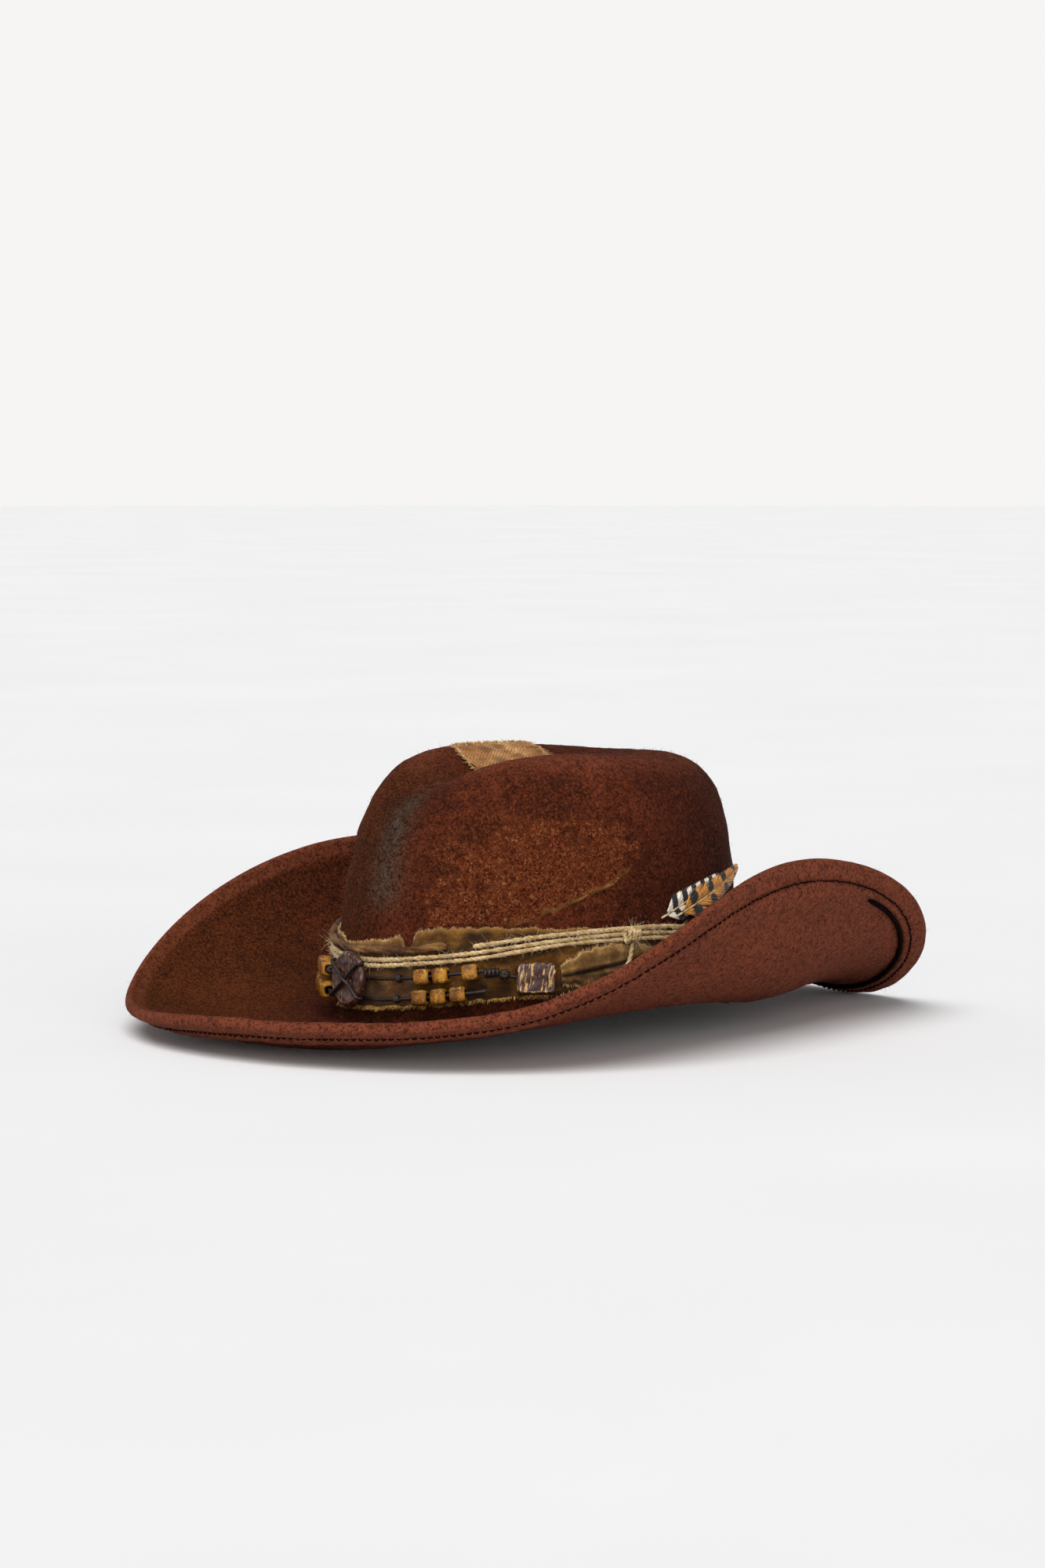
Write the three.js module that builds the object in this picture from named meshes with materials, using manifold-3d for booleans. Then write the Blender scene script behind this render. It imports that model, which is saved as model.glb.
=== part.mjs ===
// A wide-brimmed wool felt hat with a creased crown, a rolled brim and a trimmed hatband.
// Millimetres. +Z is up, the front of the hat faces -Y and the wearer's left is +X.
// The origin is on the floor, under the middle of the hat's outline.
// An angle round the hat is counted from the front towards the wearer's left.

import * as THREE from 'three';
import { mergeVertices } from 'three/addons/utils/BufferGeometryUtils.js';
import Module from 'manifold-3d';

const wasm = await Module();
wasm.setup();

// ---- Felt body ----
const crownLength = 208;      // outside, where the crown meets the brim
const crownWidth = 172;
const crownHeight = 124.5;    // above the mean height of the crown's foot
const crownFall = 5;          // the top is this much higher at the front and lower at the back
const frontTaper = 0.25;      // share of its length that the crown loses at the front by the top
const frontBow = 2;           // the front stands steep at its foot and leans back more as it rises
const sideTaper = 0.14;
const frontShoulder = 5;      // roundness of the shoulder; larger is squarer
const backShoulder = 6;
const topShoulder = 5.6;
const creaseDepth = 18;
const creaseWidth = 26;       // half width of the crease down the middle of the top
const creaseEnd = 0.75;       // where the crease dies out, as a share of the back half
const brimWidth = 102;
const footHeight = 12;        // mean height of the crown's foot
const sideRise = 6.7;         // how far the foot rises at the sides and drops at front and back
const feltThickness = 2.6;
const foldWidth = 13;         // the brim's edge, folded under and sewn
const foldGap = 0.4;

// Slope of the brim in degrees, every 30 degrees round from the front by the wearer's left:
// where it leaves the crown, and at the rim.
const slopeAtCrown = [-15, -10, -4, -4, -2, 9, 14, 9, -3, -5, -4, -10];
const slopeAtRim = [34, 26, 17, 92, 116, 60, -44, 38, 62, 104, 58, 10];

// ---- Trim ----
const clearance = 0.3;        // gap between pieces that touch
const sweatbandHeight = 36;
const sweatbandThickness = 1.2;
const sweatbandGap = 0.9;     // the leather hangs free of the felt above its seam
const reedDiameter = 1.6;
const brimCordDiameter = 2.4;
const stitchThread = 0.8;
const stitchMargin = 3.5;     // from the fold's lip to the row of stitches
const clothThickness = 1.2;
// Lower and upper edge of the band cloth above the crown's foot, every 30 degrees from the front.
const clothLows = [9, 9.5, 8, 3, 3, 3, 3, 3, 3, 3, 4, 7];
const clothHeights = [40, 46, 38, 33, 30, 30, 30, 30, 31, 33, 36, 38];
const twineDiameter = 2.2;
const twineGap = 0.4;         // between turns
const twineDrift = 0.8;       // the turns climb this much towards the sides of the hat
const thirdTurn = { from: 42, to: 220 };   // the last turn only goes part of the way round, in degrees
const stripThickness = 3;
const stripHeight = 4.2;
const stripSpan = { from: -110, to: 34 };
const stripLift = [8, 4, 0.6, 0, 0, 0];   // extra height along the rolled strip, far end first
const waxedDiameter = 1.8;
const beadSize = 7.6;
const beadCorner = 2;
const beadBore = 2.6;
const upperCordHeight = 22.8;
const buttonDiameter = 27;
const buttonThickness = 4.2;
const buttonHoleDiameter = 3.2;
const buttonHoleSpacing = 8;
const buttonHeight = 21.5;
const tileLength = 19;
const tileWidth = 14.5;
const tileThickness = 3;
const tileHeight = 16.2;
const tileCorner = 1.5;
const tileLift = 0.6;         // off the cloth
const knotAngle = 86;
const knotLength = 10;
const knotHeight = 7.5;
const knotDepth = 6;
const ragThickness = 3.4;
// Each end of a rag leaf or a feather: its angle, and its height above the crown's foot.
const ragUpper = { to: 97, low: 16.5, high: 20, halves: [4.5, 9, 9.8, 7.5, 2.5] };
const ragLower = { from: 64, to: 84, low: 4.6, high: 4, halves: [1, 2.4, 3, 2.6, 1] };
const stripedFeather = { from: 98, to: 126, high: 61, half: 8 };
const goldenFeather = { from: 103, to: 139, high: 67, half: 9 };
const patchLength = 50;
const patchWidth = 34;
const patchThickness = 1.2;
const patchMiddle = [-19, -6];
const patchLift = 1.2;        // off the felt at its middle, over the dents of the crease
const featherThickness = 1.6;

const columns = 56;           // facets round the hat
const rad = Math.PI / 180;

// ---- Colours ----
const finish = (color, roughness = 0.9, metalness = 0) =>
  new THREE.MeshStandardMaterial({ color, roughness, metalness });
const felt = finish('#4a2516');
const leather = finish('#3a2415', 0.6);
const cloth = finish('#6b5531');
const tanCloth = finish('#9c7d52');
const jute = finish('#b79a6c');
const waxed = finish('#17120f', 0.45);
const wood = finish('#8a5a22', 0.5);
const shell = finish('#2c1a12', 0.4);
const plume = finish('#c49243', 0.8);
const thread = finish('#3a1c11');

// ---- Shape helpers ----
const sinc = (x) => (Math.abs(x) < 1e-6 ? 1 : Math.sin(x) / x);
const mix = (a, b, t) => a + (b - a) * t;
const steps = (n) => Array.from({ length: n + 1 }, (_, i) => i / n);
const ease = (t) => {
  const k = Math.min(Math.max(t, 0), 1);
  return k * k * (3 - 2 * k);
};

// Smooth closed curve through evenly spaced stations round the hat: a uniform cubic B-spline.
function around(stations, phi) {
  const n = stations.length;
  const q = (((phi / (2 * Math.PI)) % 1) + 1) % 1 * n;
  const i = Math.floor(q);
  const t = q - i;
  const s = (k) => stations[(i + k + n) % n];
  return ((1 - t) ** 3 * s(-1) + (3 * t ** 3 - 6 * t * t + 4) * s(0)
    + (-3 * t ** 3 + 3 * t * t + 3 * t + 1) * s(1) + t ** 3 * s(2)) / 6;
}

// Value along an open run of stations, eased from one to the next.
function along(stations, t) {
  const q = Math.min(Math.max(t, 0), 1) * (stations.length - 1);
  const i = Math.min(Math.floor(q), stations.length - 2);
  return mix(stations[i], stations[i + 1], ease(q - i));
}

const footZ = (phi) => footHeight - sideRise * Math.cos(2 * phi);

// Crown skin: an oval that shrinks with height as a superellipse, with a crease pressed
// down along the middle of the top. u is 0 at the foot and 1 at the top of the dome.
function crown(phi, u, radius) {
  const back = -Math.cos(phi);
  const frontLoss = (back < 0 ? frontTaper : 0) * back * back * u ** frontBow;
  const sideLoss = sideTaper * (1 - back * back) * u;
  const r = radius * (1 - frontLoss - sideLoss);
  const x = crownWidth / 2 * Math.sin(phi) * r;
  const y = crownLength / 2 * back * r;
  const share = y / (crownLength / 2);
  const top = footHeight + crownHeight - crownFall * share;
  const crease = creaseDepth * ease(creaseEnd - share) * Math.exp(-((x / creaseWidth) ** 2)) * u ** 4;
  return new THREE.Vector3(x, y, mix(footZ(phi), top, u) - crease);
}

const shoulder = (phi) => mix(frontShoulder, backShoulder, ease(0.5 - 0.5 * Math.cos(phi)));
const crownAt = (phi, u) => crown(phi, u, (1 - u ** topShoulder) ** (1 / shoulder(phi)));

// The same skin by an angle over the shoulder, which also reaches the middle of the top.
const crownOver = (phi, psi) =>
  crown(phi, Math.sin(psi) ** (2 / topShoulder), Math.cos(psi) ** (2 / shoulder(phi)));

// Brim skin: a circular arc outwards from the crown's foot, s along it, lifted off its upper face.
function brim(phi, s, lift) {
  const a0 = around(slopeAtCrown, phi) * rad;
  const bend = (around(slopeAtRim, phi) * rad - a0) / brimWidth;
  const chord = s * sinc(bend * s / 2);
  const mid = a0 + bend * s / 2;
  const slope = a0 + bend * s;
  const out = new THREE.Vector2(Math.sin(phi) / crownWidth, -Math.cos(phi) / crownLength).normalize();
  const reach = chord * Math.cos(mid) - lift * Math.sin(slope);
  return new THREE.Vector3(
    crownWidth / 2 * Math.sin(phi) + out.x * reach,
    -crownLength / 2 * Math.cos(phi) + out.y * reach,
    footZ(phi) + chord * Math.sin(mid) + lift * Math.cos(slope));
}

// A place on the crown's side, height h above the foot and lifted off the felt, with its directions.
function onCrown(phi, h, lift = 0) {
  const u = h / (crownHeight + footHeight - footZ(phi));
  const step = 1e-3;
  const at = crownAt(phi, Math.max(u, 0));
  const up = crownAt(phi, Math.max(u, 0) + step).sub(at).normalize();
  const across = crownAt(phi + step, Math.max(u, 0)).sub(crownAt(phi - step, Math.max(u, 0)));
  const out = across.cross(up).normalize();
  if (u < 0) at.addScaledVector(up, h);
  return { at: at.addScaledVector(out, lift), out, up, side: up.clone().cross(out) };
}

// ---- Mesh helpers ----
function solidFrom(positions, index) {
  const raw = new THREE.BufferGeometry();
  raw.setAttribute('position', new THREE.Float32BufferAttribute(positions, 3));
  raw.setIndex(index);
  const merged = mergeVertices(raw, 1e-4);
  const p = merged.attributes.position;
  const kept = [];
  let volume = 0;
  const v = [0, 1, 2].map(() => new THREE.Vector3());
  for (let i = 0; i < merged.index.count; i += 3) {
    const t = [0, 1, 2].map((k) => merged.index.getX(i + k));
    if (t[0] === t[1] || t[1] === t[2] || t[2] === t[0]) continue;
    t.forEach((k, j) => v[j].fromBufferAttribute(p, k));
    volume += v[0].dot(v[1].clone().cross(v[2]));
    kept.push(t);
  }
  const facing = volume < 0 ? kept.map(([a, b, c]) => [a, c, b]) : kept;
  merged.setIndex(facing.flat());
  merged.computeVertexNormals();
  return merged;
}

// Solid between rows of points. Every row is a closed loop of the same length; the rows either
// join up end to end, or the first and last are closed over.
function lattice(rows, joined) {
  const m = rows[0].length;
  const positions = rows.flat().flatMap((p) => [p.x, p.y, p.z]);
  const index = [];
  const last = joined ? rows.length : rows.length - 1;
  for (let i = 0; i < last; i++) {
    const a = i * m;
    const b = ((i + 1) % rows.length) * m;
    for (let j = 0; j < m; j++) {
      const k = (j + 1) % m;
      index.push(a + j, a + k, b + k, a + j, b + k, b + j);
    }
  }
  if (!joined) {
    for (const [row, turn] of [[0, 1], [rows.length - 1, 0]]) {
      const middle = rows[row].reduce((s, p) => s.add(p), new THREE.Vector3()).divideScalar(m);
      const c = positions.length / 3;
      positions.push(middle.x, middle.y, middle.z);
      for (let j = 0; j < m; j++) {
        const [p, q] = turn ? [j + 1, j] : [j, j + 1];
        index.push(row * m + p % m, row * m + q % m, c);
      }
    }
  }
  return solidFrom(positions, index);
}

const roundSection = (diameter, sides = 5) => steps(sides).slice(0, sides).map((t) =>
  [diameter / 2 * Math.cos(2 * Math.PI * t), diameter / 2 * Math.sin(2 * Math.PI * t)]);
const flatSection = (thick, low, high) => [[0, low], [thick, low], [thick, high], [0, high]];
const lensSection = (thick, half) => [[0, -half], [0.7 * thick, -0.6 * half], [thick, 0],
  [0.7 * thick, 0.6 * half], [0, half], [0.2 * thick, 0]];

// Row of a section standing on a place, its first number outwards and its second upwards.
const rowAt = (place, section) => section.map(([o, h]) =>
  place.at.clone().addScaledVector(place.out, o).addScaledVector(place.up, h));

// Row of a strip that bends with the crown: its lower edge, middle and upper edge follow the felt.
function clingingRow(phi, low, high, lift, thick) {
  const places = [low, (low + high) / 2, high].map((h) => onCrown(phi, h, lift));
  const face = (o) => places.map(({ at, out }) => at.clone().addScaledVector(out, o));
  return [...face(0), ...face(thick).reverse()];
}

// Ring round the crown, and an open run between two angles.
const ringRow = (count, row) => lattice(steps(count).slice(0, count).map((t) => row(2 * Math.PI * t)), true);
const runRow = (from, to, count, row) =>
  lattice(steps(count).map((t) => row(mix(from, to, t) * rad, t)), false);

const shaped = new THREE.Group();
function piece(name, geometry, material, place) {
  const mesh = new THREE.Mesh(geometry, material);
  mesh.name = name;
  if (place) {
    mesh.position.copy(place.at);
    mesh.quaternion.setFromRotationMatrix(new THREE.Matrix4().makeBasis(place.side, place.up,
      place.side.clone().cross(place.up)));
  }
  shaped.add(mesh);
  return mesh;
}

// ---- Felt body: crown and brim in one piece ----
const sideRows = 6;
const topRows = 8;
const straightShare = 0.8;    // of the crown's height, below the shoulder
function crownAngles() {
  const low = steps(sideRows).map((t) => Math.asin((t * straightShare) ** (topShoulder / 2)));
  const edge = Math.cos(low[sideRows]) ** (2 / frontShoulder);
  const high = steps(topRows).slice(1).map((t) => Math.acos((edge * (1 - t)) ** (frontShoulder / 2)));
  return [...low, ...high];
}

// Points of a skin pushed in along the skin's own normal, read off its grid of points.
function inward(grid, depth) {
  return grid.map((row, i) => row.map((p, j) => {
    if (i === grid.length - 1) return p.clone().add(new THREE.Vector3(0, 0, -depth));
    const m = row.length;
    const across = row[(j + 1) % m].clone().sub(row[(j + m - 1) % m]);
    const up = grid[i + 1][j].clone().sub(grid[Math.max(i - 1, 0)][j]);
    return p.clone().addScaledVector(across.cross(up).normalize(), -depth);
  }));
}

const turns = steps(columns).slice(0, columns).map((t) => 2 * Math.PI * t);
const outerCrown = crownAngles().map((psi) => turns.map((phi) => crownOver(phi, psi)));
const innerCrown = inward(outerCrown, feltThickness);

const stitchInset = foldWidth - stitchMargin;
function feltGeometry() {
  const brimRow = (s, lift) => turns.map((phi) => brim(phi, s, lift));
  const under = -feltThickness;
  const folded = -2 * feltThickness - foldGap;
  const lip = brimWidth - foldWidth;
  const upper = [0.12, 0.26, 0.42, 0.58, 0.74, 0.88].map((t) => brimRow(t * brimWidth, 0));
  const rim = [[-1.6, 0], [0, folded / 4], [0.4, folded / 2], [0, folded * 3 / 4], [-1.6, folded]]
    .map(([s, lift]) => brimRow(brimWidth + s, lift));
  const lower = [brimRow(brimWidth - stitchInset, folded), brimRow(lip + 0.2, folded), brimRow(lip, under),
    ...[0.74, 0.58, 0.42, 0.26, 0.12, 0].map((t) => brimRow(t * brimWidth, under))];
  const corner = innerCrown[0].map((p, j) => new THREE.Vector3(p.x, p.y, brim(turns[j], 0, under).z));
  return lattice([...outerCrown.slice().reverse(), ...upper, ...rim, ...lower, corner,
    ...innerCrown.slice(1)], false);
}
piece('felt_body', feltGeometry(), felt);

// ---- Under the brim: a cord in the open lip of the fold, and the row of stitches ----
const underPlace = (phi, s, lift) => {
  const at = brim(phi, s, lift);
  const out = brim(phi, s, lift + 1).sub(at).normalize();
  const up = brim(phi, s + 1, lift).sub(at).normalize();
  return { at, out, up };
};
const cordInset = foldWidth + clearance + brimCordDiameter / 2;
const cordLift = -feltThickness - clearance - brimCordDiameter / 2;
piece('brim_cord', ringRow(columns, (phi) =>
  rowAt(underPlace(phi, brimWidth - cordInset, cordLift), roundSection(brimCordDiameter))), waxed);
const stitchLift = -2 * feltThickness - foldGap - clearance - stitchThread;
piece('edge_stitching', ringRow(columns, (phi) =>
  rowAt(underPlace(phi, brimWidth - stitchInset, stitchLift),
    flatSection(stitchThread, -stitchThread / 2, stitchThread / 2))), thread);

// ---- Inside the crown: the sweatband, and the reed in its lower edge ----
const bandOffset = -feltThickness - sweatbandGap - sweatbandThickness;
piece('sweatband', ringRow(columns, (phi) =>
  clingingRow(phi, 0, sweatbandHeight, bandOffset, sweatbandThickness)), leather);
piece('sweatband_reed', ringRow(columns, (phi) =>
  rowAt(onCrown(phi, -clearance - reedDiameter / 2, bandOffset + sweatbandThickness - reedDiameter / 2),
    roundSection(reedDiameter))), waxed);

// ---- Hatband: cloth, a rolled strip and turns of twine ----
piece('band_cloth', ringRow(columns, (phi) =>
  clingingRow(phi, around(clothLows, phi), around(clothHeights, phi), clearance, clothThickness)), cloth);
const overCloth = clearance + clothThickness + clearance;

const beadReach = beadSize / Math.SQRT2 - beadCorner * (Math.SQRT2 - 1);
const twineHeight = upperCordHeight + beadReach + clearance + twineDiameter / 2;
const twinePitch = twineDiameter + twineGap;
const twinePlace = (phi, turn) => onCrown(phi,
  twineHeight + turn * twinePitch + twineDrift * Math.sin(phi) ** 2, overCloth + twineDiameter / 2);
piece('twine_turn_1', ringRow(columns, (phi) => rowAt(twinePlace(phi, 0), roundSection(twineDiameter))), jute);
piece('twine_turn_2', ringRow(columns, (phi) => rowAt(twinePlace(phi, 1), roundSection(twineDiameter))), jute);
piece('twine_turn_3', runRow(thirdTurn.from, thirdTurn.to, 28, (phi) =>
  rowAt(twinePlace(phi, 2), roundSection(twineDiameter))), jute);

const stripBase = twineHeight + twinePitch + twineDiameter / 2 + clearance + twineDrift + stripHeight / 2;
piece('rolled_strip', runRow(stripSpan.from, stripSpan.to, 26, (phi, t) =>
  rowAt(onCrown(phi, stripBase + along(stripLift, t), overCloth),
    flatSection(stripThickness, -stripHeight / 2, stripHeight / 2))), tanCloth);

// ---- Beads on waxed cords, each free to spin on its cord ----
const beadLift = overCloth + beadReach;
const lowerCordHeight = upperCordHeight - 2 * beadReach - clearance;
// Gap in front of each bead, counted away from the button, after the angle where its row starts.
const beadRows = {
  upper: { start: 25.8, gaps: [0, 1.6, 6.4] },
  lower: { start: 25.4, gaps: [0, 1.7, 1.7] },
  left_upper: { start: -15, gaps: [0, 1.7] },
  left_lower: { start: -14, gaps: [0, 1.7, 1.7] },
};
// How far the cords go on past their last beads, and the gaps between what follows on the upper one.
const cordTails = { upper: 2.05, lower: 8.75, left_upper: 10.5, left_lower: 11.6 };
const sleeveGap = 0.9;
const sleeveLength = 4.75;
const sleeveDrop = 1.5;       // the knots hang a little below the cord
const ballKnotDrop = 3;
const ballKnotDiameter = 5.4;
const ballKnotHeight = 5.8;
const ballKnotGap = 1.05;
const tileGap = 2.8;
const ragGap = 2.8;

// The cords stand off the cloth at the beads and dip to it behind the button.
const dip = (phi) => 1 - ease((Math.abs(phi / rad) - 8) / 6);
const cordPlace = (phi, h) => onCrown(phi, h, mix(beadLift, overCloth + waxedDiameter / 2, dip(phi)));

// The angle reached by going on from another by a distance along a cord at this height.
const angleStep = 0.5 * rad;
const cordReach = (phi, h) =>
  cordPlace(phi + angleStep, h).at.distanceTo(cordPlace(phi - angleStep, h).at) / (2 * angleStep);
const onward = (phi, distance, h = upperCordHeight) => phi + distance / cordReach(phi, h);

function beadGeometry() {
  const half = beadSize / 2 - beadCorner;
  const outline = new THREE.Shape();
  [[1, 1], [-1, 1], [-1, -1], [1, -1]].forEach(([x, y], k) =>
    outline.absarc(x * half, y * half, beadCorner, k * Math.PI / 2, (k + 1) * Math.PI / 2));
  outline.holes.push(new THREE.Path(roundSection(beadBore, 8).map(([x, y]) => new THREE.Vector2(x, y))));
  const edge = 0.9;
  const body = new THREE.ExtrudeGeometry(outline, { depth: beadSize - 2 * edge, bevelThickness: edge,
    bevelSize: edge, bevelOffset: -edge, bevelSegments: 1, curveSegments: 2 });
  body.translate(0, 0, edge - beadSize / 2);
  return body;
}
const beadShape = beadGeometry();
const rowEnd = {};
for (const [row, { start, gaps }] of Object.entries(beadRows)) {
  const height = row.endsWith('upper') ? upperCordHeight : lowerCordHeight;
  const way = Math.sign(start);
  let phi = start * rad;
  gaps.forEach((gap, i) => {
    phi = onward(phi, way * (gap + beadSize / 2), height);
    const { at, out } = cordPlace(phi, height);
    const run = cordPlace(phi + angleStep, height).at.sub(cordPlace(phi - angleStep, height).at).normalize();
    const up = run.clone().cross(out).normalize();
    piece(`bead_${row}_${i + 1}`, beadShape.clone(), wood, { at, side: up.clone().cross(run), up });
    phi = onward(phi, way * beadSize / 2, height);
  });
  rowEnd[row] = phi;
}

const cordEnd = (row, h) => onward(rowEnd[row], Math.sign(rowEnd[row]) * cordTails[row], h) / rad;
const waxedCord = (left, right, h) => runRow(cordEnd(left, h), cordEnd(right, h), 30, (phi) =>
  rowAt(cordPlace(phi, h), roundSection(waxedDiameter)));
piece('waxed_cord_upper', waxedCord('left_upper', 'upper', upperCordHeight), waxed);
piece('waxed_cord_lower', waxedCord('left_lower', 'lower', lowerCordHeight), waxed);

// ---- Button of nutshell on the front, lashed with a crossed cord ----
const buttonFront = onCrown(0, buttonHeight, overCloth + twineDiameter + clearance);
const disc = (r, from, to, segments) => {
  const g = new THREE.CylinderGeometry(r, r, to - from, segments);
  g.rotateX(Math.PI / 2);
  g.translate(0, 0, (from + to) / 2);
  return g;
};
function toSolid(geometry) {
  const g = geometry.clone();
  g.deleteAttribute('normal');
  g.deleteAttribute('uv');
  const m = mergeVertices(g, 1e-4);
  return new wasm.Manifold(new wasm.Mesh({ numProp: 3,
    vertProperties: new Float32Array(m.attributes.position.array),
    triVerts: new Uint32Array(m.index.array) }));
}
function fromSolid(solid) {
  const mesh = solid.getMesh();
  return solidFrom(Array.from(mesh.vertProperties), Array.from(mesh.triVerts));
}
function buttonGeometry() {
  const r = buttonDiameter / 2;
  const t = buttonThickness;
  const profile = [[0, 0], [r * 0.86, 0], [r, t * 0.3], [r, t * 0.6], [r * 0.88, t * 0.9],
    [r * 0.5, t], [0, t]];
  const body = new THREE.LatheGeometry(profile.map(([x, y]) => new THREE.Vector2(x, y)), 28);
  body.rotateX(Math.PI / 2);
  let solid = toSolid(solidFrom(Array.from(body.attributes.position.array), Array.from(body.index.array)));
  for (const side of [-1, 1]) {
    const hole = disc(buttonHoleDiameter / 2, -1, t + 1, 12);
    hole.translate(side * buttonHoleSpacing / 2, 0, 0);
    solid = solid.subtract(toSolid(hole));
  }
  return fromSolid(solid);
}
piece('shell_button', buttonGeometry(), shell, buttonFront);

// Two strands cross on the button's face and turn over its edge.
function lashingGeometry() {
  const r = buttonDiameter / 2;
  const d = waxedDiameter;
  const strand = (angle) => {
    const half = steps(5).map((t) => new THREE.Vector3(r * 0.9 * t, 0,
      buttonThickness * (1 - 0.1 * t * t) + clearance + d / 2));
    const edge = r + clearance + d / 2;
    half.push(new THREE.Vector3(edge - d / 4, 0, buttonThickness * 0.9));
    half.push(new THREE.Vector3(edge, 0, buttonThickness * 0.5));
    const path = [...half.slice(1).reverse().map((p) => new THREE.Vector3(-p.x, 0, p.z)), ...half];
    const rows = path.map((p, i) => {
      const ahead = path[Math.min(i + 1, path.length - 1)].clone().sub(path[Math.max(i - 1, 0)]).normalize();
      const out = new THREE.Vector3(-ahead.z, 0, ahead.x);
      return rowAt({ at: p, out, up: new THREE.Vector3(0, 1, 0) }, roundSection(d));
    });
    return lattice(rows, false).rotateZ(angle);
  };
  return fromSolid(toSolid(strand(35 * rad)).add(toSolid(strand(-35 * rad))));
}
piece('button_lashing', lashingGeometry(), waxed, buttonFront);

// ---- Knotted sleeve, ball knot and nutshell tile, to the left of the beads ----
const egg = (length, height, depth) => {
  const g = new THREE.SphereGeometry(1, 12, 8);
  g.scale(length / 2, height / 2, depth / 2);
  return solidFrom(Array.from(g.attributes.position.array), Array.from(g.index.array));
};
const sleeveStart = onward(rowEnd.upper, cordTails.upper + sleeveGap);
const sleeveEnd = onward(sleeveStart, sleeveLength);
piece('knotted_sleeve', runRow(sleeveStart / rad, sleeveEnd / rad, 4, (phi) =>
  rowAt(cordPlace(phi, upperCordHeight - sleeveDrop), roundSection(2.4 * waxedDiameter, 8))), waxed);
const ballAngle = onward(sleeveEnd, ballKnotGap + ballKnotDiameter / 2);
piece('ball_knot', egg(ballKnotDiameter, ballKnotHeight, ballKnotDiameter), waxed,
  cordPlace(ballAngle, upperCordHeight - ballKnotDrop));

function plateGeometry(length, width, thick, corner) {
  const outline = new THREE.Shape();
  const [x, y] = [length / 2 - corner, width / 2 - corner];
  [[1, 1], [-1, 1], [-1, -1], [1, -1]].forEach(([i, j], k) =>
    outline.absarc(i * x, j * y, corner, k * Math.PI / 2, (k + 1) * Math.PI / 2));
  return new THREE.ExtrudeGeometry(outline, { depth: thick - 0.8, bevelThickness: 0.4, bevelSize: 0.4,
    bevelOffset: -0.4, bevelSegments: 1, curveSegments: 3 }).translate(0, 0, 0.4);
}
const tileAngle = onward(ballAngle, ballKnotDiameter / 2 + tileGap + tileLength / 2);
piece('shell_tile', plateGeometry(tileLength, tileWidth, tileThickness, tileCorner), shell,
  onCrown(tileAngle, tileHeight, overCloth + tileLift));

// ---- Knotted rag, with the twine knot above it ----
const ragLeaf = ({ from, to, low, high, halves }) => runRow(from, to, 12, (phi, t) =>
  rowAt(onCrown(phi, mix(low, high, t), overCloth), lensSection(ragThickness, along(halves, t))));
const ragStart = onward(tileAngle, tileLength / 2 + ragGap) / rad;
piece('rag_leaf_upper', ragLeaf({ ...ragUpper, from: ragStart }), cloth);
piece('rag_leaf_lower', ragLeaf(ragLower), tanCloth);
piece('twine_knot', egg(knotLength, knotHeight, knotDepth), jute,
  onCrown(knotAngle * rad, twineHeight + twinePitch, overCloth + twineDiameter + clearance + knotDepth / 2));

// ---- Feathers tucked up the side, behind the knot ----
const feather = ({ from, to, high, half }, low, lift) => runRow(from, to, 14, (phi, t) => {
  const width = half * Math.min(1, 6 * t + 0.15) * Math.sqrt(Math.max(1.04 - t, 0));
  const place = onCrown(phi, mix(low, high, t), lift);
  const lean = Math.atan2(high - low, (to - from) * rad * crownLength / 2);
  const across = place.up.clone().multiplyScalar(Math.cos(lean))
    .addScaledVector(place.side, -Math.sin(lean));
  return rowAt({ ...place, up: across }, lensSection(featherThickness, Math.max(width, 0.8)));
});
const featherLift = clothThickness + clearance * 2;
const featherRoot = twineHeight + 3 * twinePitch + twineDiameter;
piece('feather_striped', feather(stripedFeather, featherRoot, featherLift), plume);
piece('feather_golden', feather(goldenFeather, featherRoot + 1,
  featherLift + featherThickness + clearance), plume);

// ---- Patch of sacking laid into the crease ----
function patchGeometry() {
  const centre = new THREE.Vector2(...patchMiddle);
  const count = 16;
  const size = [1, 0.75, 0.4];
  const topAt = (x, y) => {
    // Height of the crown's top under a point, by closing in on the ring that passes through it.
    const phi = Math.atan2(x / crownWidth, -y / crownLength);
    let [low, high] = [0, Math.PI / 2];
    for (let i = 0; i < 30; i++) {
      const mid = (low + high) / 2;
      const p = crownOver(phi, mid);
      if (Math.hypot(p.x, p.y) > Math.hypot(x, y)) low = mid;
      else high = mid;
    }
    return crownOver(phi, low).z;
  };
  const ring = (share, lift) => steps(count).slice(0, count).map((t) => {
    const a = 2 * Math.PI * t;
    const square = 0.86 / Math.max(Math.abs(Math.cos(a)), Math.abs(Math.sin(a))) ** 0.5;
    const x = centre.x + share * square * patchWidth / 2 * Math.sin(a);
    const y = centre.y + share * square * patchLength / 2 * Math.cos(a);
    return new THREE.Vector3(x, y, topAt(x, y) + lift);
  });
  return lattice([...size.slice().reverse().map((s) => ring(s, patchLift)),
    ...size.map((s) => ring(s, patchLift + patchThickness))], false);
}
piece('crown_patch', patchGeometry(), tanCloth);

// ---- Stand the hat on the floor, centred over the origin ----
shaped.updateMatrixWorld(true);
const box = new THREE.Box3().setFromObject(shaped);
const middle = box.getCenter(new THREE.Vector3());
shaped.position.set(-middle.x, -middle.y, -box.min.z);

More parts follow.
